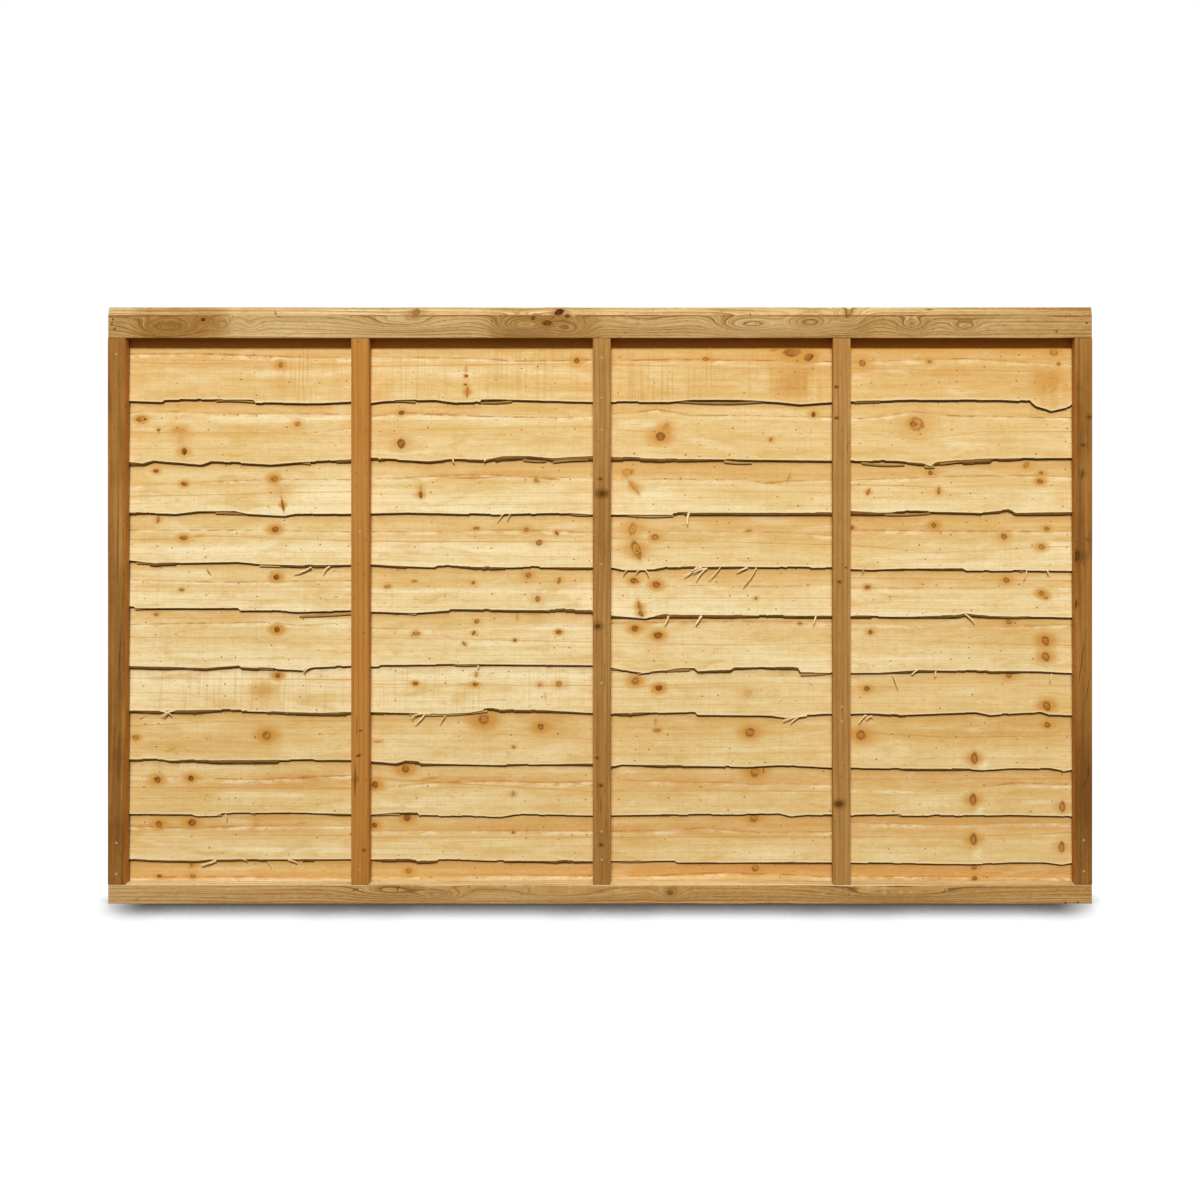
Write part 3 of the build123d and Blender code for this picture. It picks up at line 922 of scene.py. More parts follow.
class BoardPlane:
    """Where a board's solid lies: its ends, its two leaning faces, its head and its wavy lower edge."""

    def __init__(self, node: str) -> None:
        """Reads the solid, which stays as it is."""
        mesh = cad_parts[node].data
        self.low, self.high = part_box(node)
        bm = bmesh.new()
        bm.from_mesh(mesh)
        facing = sum((face.normal * face.calc_area() for face in bm.faces if face.normal.y < -0.9), Vector())
        self.out = facing.normalized()
        reach = [self.out.dot(vert.co) for vert in bm.verts]
        self.front_reach, self.back_reach = max(reach), min(reach)
        self.tree = BVHTree.FromBMesh(bm)
        bm.free()

    def face_y(self, z: np.ndarray | float, back: bool = False) -> np.ndarray | float:
        """Gives the y of the front or back face at a height."""
        reach = self.back_reach if back else self.front_reach
        return (reach - self.out.z * z) / self.out.y

    def edge(self, x: np.ndarray) -> np.ndarray:
        """Gives the height of the lower edge at each place along the board."""
        y = (self.face_y(self.low.z + 0.01) + self.face_y(self.low.z + 0.01, back=True)) / 2
        heights = []
        for place in x:
            inside = min(max(place, self.low.x + 0.0005), self.high.x - 0.0005)
            hit = self.tree.ray_cast(Vector((inside, y, self.low.z - 0.02)), Vector((0, 0, 1)))[0]
            heights.append(hit.z if hit else self.low.z)
        return np.array(heights)


@dataclass
class WaneyBoard:
    """One sawn board, with its knots and its torn lower edge.

    Tones run from 0, deep amber, to 1, cream; the change from head tone to foot tone is partly the wood's own
    colour and partly painted shade at the head, under the board above, and painted light at the foot. The
    heart line is the border of the redder wood above it, and the vein a fine brown line near the middle of
    the face.
    """

    number: int
    head_tone: float
    foot_tone: float
    drift: float = 0.0
    knots: tuple[Knot, ...] = ()
    splinters: tuple[Splinter, ...] = ()
    streaks: tuple[Streak, ...] = ()
    heart_line: tuple[tuple[float, float], ...] = ()
    vein: tuple[tuple[float, float], ...] = ()
    saw: tuple[tuple[float, float, float], ...] = ()
    warm: float = 0.0
    bark_run: float = 0.0075
    columns: int = 760
    rows: int = 16
    depth: float = 0.018
    rim: tuple[float, ...] = (0.0, 0.0008, 0.0022, 0.005, 0.009, 0.014)
    # how far the painted shade under the top rail reaches down board 1
    shelter: float = 0.0186
    drop: float = 0.0005
    half_thickness: float = 0.0025
    above: "WaneyBoard | None" = None
    plane: BoardPlane = field(init=False)

    @property
    def name(self) -> str:
        """The name of the solid and the piece."""
        return f"board_{self.number:02d}"

    def _edge_heights(self, x: np.ndarray) -> np.ndarray:
        """Gives the front face's lower edge: the solid's line, raised by part of the bark, with nicks.

        Args:
            x: The places along the board.

        Returns:
            The edge's height at each.
        """
        noise = SmoothNoise(self.number)
        edge = self.plane.edge(x)
        if self.number == 11:
            return edge
        edge = edge + 0.00025 * noise.at(x * 38, 3.3) + 0.00015 * noise.at(x * 150, 7.1)
        dice = random.Random(self.number * 17)
        for _ in range(16):
            start, length = dice.uniform(-0.9, 0.88), dice.uniform(0.005, 0.05)
            edge = edge + dice.uniform(0.0004, 0.0016) * ((x > start) & (x < start + length))
        return edge + 0.12 * self._bark_depth(x) - self.drop

    def _bark_depth(self, x: np.ndarray) -> np.ndarray:
        """Gives how far the slanting bark edge runs down behind the front edge at each place."""
        if self.number == 11:
            return np.zeros_like(x)
        noise = SmoothNoise(self.number + 40)
        slant = 0.5 + 0.5 * noise.at(x * 4, 1.7) + 0.3 * noise.at(x * 17, 5.2)
        dice = random.Random(self.number * 31)
        for _ in range(8):
            start, length = dice.uniform(-0.9, 0.8), dice.uniform(0.03, 0.16)
            slant = slant + dice.uniform(-0.55, 0.45) * ((x > start) & (x < start + length))
        return self.bark_run * np.clip(slant, 0.4, 1)

    def foot_heights(self, x: np.ndarray) -> np.ndarray:
        """Gives the height where the bark edge ends, against the board below."""
        return np.maximum(self._edge_heights(x) - self._bark_depth(x), self.plane.low.z)

    def _body(self, bm: bmesh.types.BMesh) -> None:
        """Adds the board's body to the shape."""
        plane = self.plane
        bmesh.ops.create_grid(bm, x_segments=self.columns, y_segments=self.rows, size=0.5)
        for vert in bm.verts:
            vert.co = (vert.co.x + 0.5, 0.0, vert.co.y + 0.5)
        back = bmesh.ops.extrude_face_region(bm, geom=bm.faces[:])["geom"]
        for part in back:
            if isinstance(part, bmesh.types.BMVert):
                part.co.y = 1.0
        bm.verts.ensure_lookup_table()
        places = np.array([vert.co[:] for vert in bm.verts])
        column = np.rint(places[:, 0] * self.columns).astype(int)
        row = np.rint(places[:, 2] * self.rows).astype(int)
        behind = places[:, 1] > 0.5
        stations = np.linspace(plane.low.x, plane.high.x, self.columns + 1)
        foot = np.where(behind, self.foot_heights(stations)[column], self._edge_heights(stations)[column])
        rim = np.array(self.rim)
        last = len(rim) - 1
        above = np.where(row <= last, rim[np.minimum(row, last)], 0.0)
        share = np.clip((row - last) / (self.rows - last), 0, 1)
        head = plane.high.z
        start = foot + rim[last]
        z = np.where(row <= last, foot + above, start + (head - start) * share)
        x = stations[column]
        noise = SmoothNoise(self.number + 80)
        wave = 0.00022 * (1 + noise.at(x * 3.1, z * 14)) + 0.00006 * (1 + noise.at(x * 20, z * 120))
        front_y = plane.face_y(z) + wave
        front_y = np.where(row == 0, front_y + 0.0008, front_y)
        back_y = plane.face_y(z, back=True) - 0.00003 * (1 + noise.at(x * 9 + 50, z * 60))
        y = np.where(behind, back_y, front_y)
        torn = np.where(row == 0, np.where(behind, 1.0, 0.3), 0.0) * (self.number != 11)
        # painted highlight on the lowest rows of the front face, along the lower edge
        lit = np.interp(row, (0, 1, 2, 3), (1.0, 1.0, 0.7, 0.0)) * ~behind * (self.number != 11)
        bark, edge_highlight = bm.verts.layers.float["bark"], bm.verts.layers.float["edge_highlight"]
        for vert, place, share, light in zip(bm.verts, np.stack([x, y, z], axis=1), torn, lit):
            vert.co = place
            vert[bark], vert[edge_highlight] = share, light

    def _splinter(self, bm: bmesh.types.BMesh, splinter: Splinter, seed: int) -> None:
        """Adds one tapered sliver to the shape.

        Args:
            bm: The board's shape.
            splinter: Its place and width.
            seed: What its curl comes from.
        """
        before = set(bm.verts)
        steps = 7
        bmesh.ops.create_grid(bm, x_segments=steps, y_segments=2, size=0.5)
        sheet = [face for face in bm.faces if set(face.verts).isdisjoint(before)]
        made = bmesh.ops.extrude_face_region(bm, geom=sheet)["geom"]
        raised = {part for part in made if isinstance(part, bmesh.types.BMVert)}
        root = Vector((VIEW.x_at(splinter.root_x, self.depth), 0, VIEW.z_at(splinter.root_y, self.depth)))
        tip = Vector((VIEW.x_at(splinter.tip_x, self.depth), 0, VIEW.z_at(splinter.tip_y, self.depth)))
        run = tip - root
        side = Vector((-run.z, 0, run.x)).normalized()
        width = splinter.width * VIEW.pixel * (1.0 if splinter.slat else 1.2)
        dice = random.Random(seed)
        bow = dice.uniform(-0.03, 0.03) if splinter.slat else dice.uniform(-0.09, 0.09)
        lift = 0.0 if splinter.slat else dice.uniform(0.0015, 0.004)
        sunk = 0.0024 if splinter.slat else 0.0003
        sliver, bark = bm.verts.layers.float["sliver"], bm.verts.layers.float["bark"]
        for vert in bm.verts:
            if vert in before:
                continue
            along, across = vert.co.x + 0.5, vert.co.y * 2
            taper = 0.55 + 0.45 * (1 - along) if splinter.slat else 1 - 0.5 * along**2
            middle = root + run * along + side * (bow * run.length * math.sin(math.pi * along))
            place = middle + side * (across * width * 0.5 * taper)
            surface = self.plane.face_y(place.z)
            depth = 0.0012 * (taper if splinter.slat else 1 - 0.7 * along) if vert in raised else 0.0
            vert.co = (place.x, surface + sunk + depth - lift * along**1.5 + 0.0004 * abs(across), place.z)
            # slats take a lower tone: partly painted shade for their place in the lap's shadow
            vert[sliver] = splinter.pale * (0.6 if splinter.slat else 1.0)
            vert[bark] = 0.55 * splinter.pale - 1 if splinter.slat else 0.0

    def build(self, material: bpy.types.Material) -> bpy.types.Object:
        """Builds and dresses the board.

        Args:
            material: The boards' material.

        Returns:
            The finished piece.
        """
        self.plane = BoardPlane(self.name)
        bm = bmesh.new()
        bm.verts.layers.float.new("sliver")
        bm.verts.layers.float.new("bark")
        bm.verts.layers.float.new("edge_highlight")
        self._body(bm)
        for place, splinter in enumerate(self.splinters):
            self._splinter(bm, splinter, self.number * 100 + place)
        piece = shape(f"waney_{self.name}", bm, material, self.name)
        self._dress(piece.data)
        return piece

    def _dress(self, mesh: bpy.types.Mesh) -> None:
        """Writes what the material reads from the board."""
        place = points_of(mesh)
        x, z = place[:, 0], place[:, 2]
        noise, knots = SmoothNoise(self.number + 120), KnotMap(self.knots, self.depth)
        low, high = self.plane.low, self.plane.high
        wave = 0.0035 * noise.at(x * 1.6, z * 3) + 0.0014 * noise.at(x * 6.5, z * 14)
        across = z + wave + knots.bulge(x, z)
        write(mesh, "grain", np.stack([x, across, np.full_like(x, self.number * 3.7)], axis=1))
        up = np.clip((z - low.z) / (high.z - low.z - 0.02), 0, 1)
        along = (x - low.x) / (high.x - low.x) - 0.5
        # head to foot: partly the wood's own colour, partly painted shade at the head under the board above
        # and painted light at the foot
        tone = self.foot_tone + (self.head_tone - self.foot_tone) * up ** 1.3 + self.drift * along
        tone = tone + 0.1 * noise.at(x * 2.6 + 9, z * 12) + 0.06 * noise.at(x * 9 + 3, z * 25)
        warm = np.full_like(x, self.warm)
        for streak in self.streaks:
            centre_x, centre_z = VIEW.x_at(streak.x, self.depth), VIEW.z_at(streak.y, self.depth)
            far = (x - centre_x) / (streak.half_length * VIEW.pixel)
            off = (across - centre_z) / (streak.half_height * VIEW.pixel)
            share = np.exp(-far**4 - off * off)
            tone, warm = tone + streak.pale * share, warm + streak.warm * share
        sliver = np.empty(len(mesh.vertices))
        mesh.attributes["sliver"].data.foreach_get("value", sliver)
        write(mesh, "tone", np.where(sliver > 0, sliver, tone))
        write(mesh, "warm", np.where(sliver > 0, 0.0, np.clip(warm, 0, 1)))
        shifted = z + 0.25 * wave + 0.35 * knots.bulge(x, z)
        for name, line in (("heart", self.heart_line), ("vein", self.vein)):
            line_x = [VIEW.x_at(point[0], self.depth) for point in line]
            line_z = [VIEW.z_at(point[1], self.depth) for point in line]
            write(mesh, name, shifted - np.interp(x, line_x, line_z) if line else np.full_like(x, -1.0))
        rail_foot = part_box("top_rail")[0].z
        stations = np.linspace(low.x, high.x, self.columns + 1)
        # height above the foot of the board above, which the material uses for its painted lap shade
        covers = self.above.foot_heights(stations) if self.above else np.full_like(stations, rail_foot)
        behind = place[:, 1] > self.plane.face_y(z) + self.half_thickness
        write(mesh, "cover", np.where(behind, -1.0, z - np.interp(x, stations, covers)))
        # painted shade under the top rail: board 1's height above the lower end of the band
        rail_shade = np.full_like(x, -1.0)
        if self.above is None:
            rail_shade = z - rail_foot + self.shelter + 0.0014 * (x / high.x) - 0.0004 * noise.at(x * 6, 1.0)
        write(mesh, "rail_shade", np.where(behind, -1.0, rail_shade))
        sawn = np.full_like(x, 0.16)
        for middle, half, strength in self.saw:
            far = np.abs(x - VIEW.x_at(middle, self.depth)) / (half * VIEW.pixel)
            fade = np.clip((1.15 - far) / 0.3, 0, 1)
            sawn = np.maximum(sawn, strength * fade * np.clip(0.75 + 0.5 * noise.at(x * 12, z * 9), 0, 1))
        write(mesh, "saw", sawn)
        knots.write(mesh)


def swept(section: Sequence[tuple[float, float]], low: float, high: float, cuts: int, rounding: float,
          upright: bool = False) -> bmesh.types.BMesh:
    """Makes a length of timber by drawing its section along it.

    Args:
        section: The section's corners, as (y, z), or as (x, y) for an upright.
        low: Where the length starts.
        high: Where it ends.
        cuts: How many cuts divide it along its length.
        rounding: The radius of its rubbed arrises.
        upright: Whether it stands up instead of running along X.

    Returns:
        The closed shape.
    """
    bm = bmesh.new()
    corners = [bm.verts.new((a, b, low) if upright else (low, a, b)) for a, b in section]
    face = bm.faces.new(corners)
    made = bmesh.ops.extrude_face_region(bm, geom=[face])["geom"]
    move = Vector((0, 0, high - low)) if upright else Vector((high - low, 0, 0))
    bmesh.ops.translate(bm, verts=[part for part in made if isinstance(part, bmesh.types.BMVert)], vec=move)
    axis = 2 if upright else 0
    bmesh.ops.recalc_face_normals(bm, faces=bm.faces[:])

    def runs(edge: bmesh.types.BMEdge) -> bool:
        """Tells whether an edge runs along the timber."""
        return abs(edge.verts[0].co[axis] - edge.verts[1].co[axis]) > (high - low) / 2

    sharp = [edge for edge in bm.edges if len(edge.link_faces) == 2
             and edge.calc_face_angle() > math.radians(10)]
    bmesh.ops.bevel(bm, geom=sharp, offset=rounding, segments=2, affect="EDGES", profile=0.5, material=-1,
                    clamp_overlap=True)
    lengths = [edge for edge in bm.edges if runs(edge)]
    bmesh.ops.subdivide_edges(bm, edges=lengths, cuts=cuts, use_grid_fill=True)
    return bm


@dataclass(frozen=True)
class Swirl:
    """An oval in a rail's growth rings.

    It has its middle on the photograph, its half sizes, its height in metres and its rings' strength.
    """

    x: float
    y: float
    half_length: float
    half_height: float
    rise: float
    figure: float = 0.35


@dataclass
class Rail:
    """A grooved rail: its section, its rings and its knots, the fine dark cracks among them."""

    node: str
    groove_width: float
    groove_depth: float
    slope_rise: float = 0.0
    slope_run: float = 0.0
    tone: float = 0.5
    slope_tone: float = 0.0
    # painted light: extra tone on the upward ledge, which faces the light from above
    ledge_painted_light: float = 0.0
    tone_steps: tuple[tuple[float, float], ...] = ()
    crown_steps: tuple[tuple[float, float], ...] = ()
    orange: float = 0.0
    swirls: tuple[Swirl, ...] = ()
    knots: tuple[Knot, ...] = ()
    step: float = 0.005
    rounding: float = 0.0009
    seed: int = 1

    def _section(self) -> list[tuple[float, float]]:
        """Gives the section's corners as (y, z) from the front's foot, with rows up the front for rings."""
        low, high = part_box(self.node)
        half = self.groove_width / 2
        front, back = low.y + 0.00035, high.y - 0.00035
        shoulder = high.z - self.slope_rise
        rows = 10
        corners = [(front, low.z + (shoulder - low.z) * row / rows) for row in range(rows)]
        corners += [(front, shoulder - 0.0022), (front, shoulder)]
        if self.slope_rise:
            slope = (0.12, 0.35, 0.67, 1.0)
            corners += [(front + self.slope_run * part, shoulder + self.slope_rise * part) for part in slope]
            corners += [(back - self.slope_run, high.z), (back, shoulder)]
            corners += [(back, low.z), (half, low.z), (half, low.z + self.groove_depth)]
            corners += [(-half, low.z + self.groove_depth), (-half, low.z)]
        else:
            corners += [(-half, high.z), (-half, high.z - self.groove_depth),
                        (half, high.z - self.groove_depth)]
            corners += [(half, high.z), (back, high.z), (back, low.z)]
        return corners

    def build(self, material: bpy.types.Material) -> bpy.types.Object:
        """Builds and dresses the rail.

        Args:
            material: The rails' material.

        Returns:
            The finished piece.
        """
        low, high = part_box(self.node)
        cuts = int((high.x - low.x) / self.step)
        bm = swept(self._section(), low.x, high.x, cuts, self.rounding)
        noise = SmoothNoise(self.seed + 500)
        inset = np.array([vert.co[:] for vert in bm.verts])
        rough = 0.00016 * (1 + noise.at(inset[:, 0] * 7, inset[:, 2] * 40 + inset[:, 1] * 40))
        for vert, depth in zip(bm.verts, rough):
            if vert.co.y < -self.groove_width / 2 - 0.001:
                vert.co.y += depth
            elif vert.co.y > self.groove_width / 2 + 0.001:
                vert.co.y -= depth
        piece = shape(f"timber_{self.node}", bm, material, self.node)
        self._dress(piece.data, low, high)
        return piece

    def _dress(self, mesh: bpy.types.Mesh, low: Vector, high: Vector) -> None:
        """Writes what the material reads from the rail.

        Args:
            mesh: The rail's mesh.
            low: The lowest corner of its box.
            high: The highest corner of its box.
        """
        place = points_of(mesh)
        x, y, z = place.T
        noise, knots = SmoothNoise(self.seed + 700), KnotMap(self.knots, 0.0)
        across = z + 0.9 * (y - low.y) + 0.004 * noise.at(x * 2.2, z * 10) + 0.0015 * noise.at(x * 9, z * 40)
        figure = np.zeros_like(x)
        for swirl in self.swirls:
            far = (x - VIEW.x_at(swirl.x)) / (swirl.half_length * VIEW.pixel)
            off = (z - VIEW.z_at(swirl.y)) / (swirl.half_height * VIEW.pixel)
            across = across + swirl.rise * np.exp(-far * far - off * off)
            figure = np.maximum(figure, swirl.figure * np.exp(-(0.8 * far) ** 4))
        across = across + knots.bulge(x, z)
        write(mesh, "grain", np.stack([x, across, np.full_like(x, self.seed * 5.3)], axis=1))
        tone = np.full_like(x, self.tone)
        if self.tone_steps:
            steps = [VIEW.x_at(step[0]) for step in self.tone_steps]
            tone = tone + np.interp(x, steps, [step[1] for step in self.tone_steps])
        tone = tone + 0.1 * noise.at(x * 5, z * 30)
        write(mesh, "figure", figure)
        middle = centres_of(mesh)
        shoulder = high.z - self.slope_rise
        slope = (z > shoulder + 0.0012) & (self.slope_rise > 0)
        if self.slope_rise:
            # darkens a thin, broken line along the shoulder between the front and the slope
            darkening_share = np.clip(0.25 + 1.6 * noise.at(x * 5, 3.1), 0, 1)
            tone = tone - 0.7 * darkening_share * (np.abs(z - shoulder) < 0.0012) * (y < 0)
        ledge = (z > high.z - 0.0012) & (np.abs(y) > self.groove_width / 2)
        crown = np.interp(x, [VIEW.x_at(step[0]) for step in self.crown_steps],
                          [step[1] for step in self.crown_steps])
        # the ledge's extra tone is painted light on the upward face
        tone = tone + (self.slope_tone + crown) * slope + (self.ledge_painted_light + crown) * ledge
        write(mesh, "orange", np.where(ledge, 0.0, self.orange))
        write(mesh, "tone", tone)
        ends = (np.abs(middle[:, 0] - low.x) < 0.002) | (np.abs(middle[:, 0] - high.x) < 0.002)
        write(mesh, "cut_end", ends.astype(float), "FACE")
        knots.write(mesh)


@dataclass
class Batten:
    """An upright batten, with its tone at its head and its foot."""

    name: str
    side: Side
    head_tone: float
    foot_tone: float
    gold: float = 0.0
    knots: tuple[Knot, ...] = ()
    patchiness: float = 1.0
    step: float = 0.008
    rounding: float = 0.0011
    seed: int = 1

    @property
    def node(self) -> str:
        """The name of the batten's solid."""
        return f"{self.side.value}_batten_{self.name}"

    def build(self, material: bpy.types.Material) -> bpy.types.Object:
        """Builds and dresses the batten.

        Args:
            material: The battens' material.

        Returns:
            The finished piece.
        """
        low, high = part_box(self.node)
        shy = 0.00035
        front, back = (low.y + shy, high.y) if self.side is Side.FRONT else (low.y, high.y - shy)
        section = [(low.x + 0.0002, front), (high.x - 0.0002, front), (high.x - 0.0002, back),
                   (low.x + 0.0002, back)]
        bm = swept(section, low.z, high.z, int((high.z - low.z) / self.step), self.rounding, upright=True)
        noise = SmoothNoise(self.seed + 900)
        places = np.array([vert.co[:] for vert in bm.verts])
        rough = 0.00012 * noise.at(places[:, 2] * 11, places[:, 0] * 60)
        for vert, depth in zip(bm.verts, rough):
            vert.co.y += abs(depth) if vert.co.y < (low.y + high.y) / 2 else -abs(depth)
            vert.co.x += depth if low.x + 0.003 < vert.co.x < high.x - 0.003 else 0.0
        piece = shape(f"timber_{self.node}", bm, material, self.node)
        self._dress(piece.data, low, high)
        return piece

    def _dress(self, mesh: bpy.types.Mesh, low: Vector, high: Vector) -> None:
        """Writes what the material reads from the batten.

        Args:
            mesh: The batten's mesh.
            low: The lowest corner of its box.
            high: The highest corner of its box.
        """
        x, y, z = points_of(mesh).T
        noise, knots = SmoothNoise(self.seed + 950), KnotMap(self.knots, 0.0)
        across = x + 0.8 * y + 0.003 * noise.at(z * 2.4, x * 20) + 0.001 * noise.at(z * 11, x * 60)
        patch = 0.16 * noise.at(z * 4.3 + 7, 2.2) + 0.1 * noise.at(z * 15, 6.1 + 40 * x)
        write(mesh, "grain", np.stack([z, across, np.full_like(x, self.seed * 7.9)], axis=1))
        up = (z - low.z) / (high.z - low.z)
        tone = self.foot_tone + (self.head_tone - self.foot_tone) * up + self.patchiness * patch
        write(mesh, "tone", tone)
        write(mesh, "gold", np.full_like(x, self.gold) + 0.1 * noise.at(z * 5, 9.0))
        middle = centres_of(mesh)
        ends = (middle[:, 2] < low.z + 0.0012) | (middle[:, 2] > high.z - 0.0012)
        write(mesh, "cut_end", ends.astype(float), "FACE")
        # painted light: the batten's side faces get a brighter orange colour
        sides = np.minimum(middle[:, 0] - low.x, high.x - middle[:, 0]) < 0.0006
        write(mesh, "inner", 0.75 * sides, "FACE")
        knots.write(mesh)


@dataclass
class Studio:
    """The camera, the lamps, the white surroundings and the floor."""

    key_power: float = 960.0
    key_width: float = 3.2
    key_rise: float = 0.9
    key_distance: float = 9.0
    key_height: float = 45.0
    key_turn: float = 0.0
    sky: float = 0.12
    floor_size: float = 30.0

    def camera(self) -> None:
        """Stands the camera where the photograph was taken."""
        data = bpy.data.cameras.new("Camera")
        data.lens, data.sensor_width, data.sensor_fit = VIEW.lens, VIEW.sensor, "HORIZONTAL"
        data.shift_x = (VIEW.pixels / 2 - VIEW.centre_x) / VIEW.pixels
        data.shift_y = (VIEW.centre_y - VIEW.pixels / 2) / VIEW.pixels
        data.clip_start, data.clip_end = 0.05, 100.0
        camera = bpy.data.objects.new("Camera", data)
        camera.location = (VIEW.camera_x, VIEW.front - VIEW.distance, VIEW.camera_z)
        camera.rotation_euler = (math.pi / 2, 0, 0)
        bpy.context.scene.collection.objects.link(camera)
        bpy.context.scene.camera = camera

    def _lamp(self, name: str, place: Vector, target: Vector, power: float,
              size: tuple[float, float]) -> None:
        """Hangs an area lamp.

        Args:
            name: The lamp's name.
            place: Where it hangs.
            target: What it points at.
            power: Its power in watts.
            size: Its width and height.
        """
        data = bpy.data.lights.new(name, "AREA")
        data.shape, data.size, data.size_y, data.energy = "RECTANGLE", size[0], size[1], power
        lamp = bpy.data.objects.new(name, data)
        lamp.location = place
        lamp.rotation_euler = (target - place).to_track_quat("-Z", "Y").to_euler()
        bpy.context.scene.collection.objects.link(lamp)

    def lamps(self) -> None:
        """Hangs the key, the small lamp overhead and the soft one behind."""
        target = Vector((0, 0, 0.55))
        height, turn = math.radians(self.key_height), math.radians(self.key_turn)
        aim = Vector((math.sin(turn) * math.cos(height), -math.cos(turn) * math.cos(height),
                      math.sin(height)))
        self._lamp("Key", target + aim * self.key_distance, target, self.key_power,
                   (self.key_width, self.key_rise))
        self._lamp("Overhead", Vector((0, 0.02, 3.6)), Vector((0, 0.02, 0)), 15.0, (0.5, 0.2))
        self._lamp("Back", Vector((0.8, 4.5, 3.0)), target, 190.0, (1.6, 1.6))

    def surroundings(self) -> None:
        """Makes the white surroundings that the camera sees and the weaker ones that light the panel."""
        world = bpy.data.worlds.new("Studio white")
        world.use_nodes = True
        bench = NodeBench(world.node_tree)
        path = bench.add("ShaderNodeLightPath").outputs
        seen = bench.sum("MAXIMUM", path["Is Camera Ray"],
                         bench.sum("MAXIMUM", path["Is Glossy Ray"], path["Is Transmission Ray"]))
        background = world.node_tree.nodes["Background"]
        bench.feed(background.inputs["Color"], (1.0, 1.0, 1.0, 1.0))
        bench.feed(background.inputs["Strength"], bench.span(seen, 0.0, 1.0, self.sky, 1.0, smooth=False))
        bpy.context.scene.world = world

    def floor(self) -> None:
        """Lays the white floor. The panel's contact shadow on it is painted shadow: its emission is dimmed
        where ambient occlusion finds the panel close, and the dimming fades out past the panel's ends.
        """
        bm = bmesh.new()
        bmesh.ops.create_grid(bm, x_segments=1, y_segments=1, size=self.floor_size / 2)
        mesh = bpy.data.meshes.new("Floor")
        bm.to_mesh(mesh)
        bm.free()
        floor = bpy.data.objects.new("Floor", mesh)
        bpy.context.scene.collection.objects.link(floor)
        material = bpy.data.materials.new("White floor")
        material.use_nodes = True
        bench = NodeBench(material.node_tree)
        shader = material.node_tree.nodes["Principled BSDF"]
        shader.inputs["Roughness"].default_value = 1.0
        shader.inputs["Specular IOR Level"].default_value = 0.0
        path = bench.add("ShaderNodeLightPath").outputs
        seen = bench.sum("MAXIMUM", path["Is Camera Ray"],
                         bench.sum("MAXIMUM", path["Is Glossy Ray"], path["Is Transmission Ray"]))
        # painted shadow: the emission is cut where ambient occlusion finds the panel close by
        open_sky = bench.add("ShaderNodeAmbientOcclusion", {"Distance": 0.125}, samples=12, only_local=False)
        clear = bench.span(open_sky.outputs["AO"], 0.655, 0.94)
        # the painted shadow fades out past the panel's ends, by the distance along x
        along = bench.split(bench.add("ShaderNodeTexCoord").outputs["Object"])[0]
        past = bench.span(bench.sum("ABSOLUTE", along), 0.835, 0.95, 0.0, 0.8)
        clear = bench.plus(clear, bench.times(bench.minus(1.0, clear), past))
        bench.feed(shader.inputs["Base Color"],
                   bench.blend(seen, (0.12, 0.12, 0.12, 1), (0.09, 0.09, 0.09, 1)))
        shader.inputs["Emission Color"].default_value = (1, 1, 1, 1)
        bench.feed(shader.inputs["Emission Strength"], bench.times(seen, clear))
        mesh.materials.append(material)

    def build(self) -> None:
        """Sets the whole studio up."""
        self.camera()
        self.lamps()
        self.surroundings()
        self.floor()
        bpy.context.scene.view_settings.view_transform = "Standard"


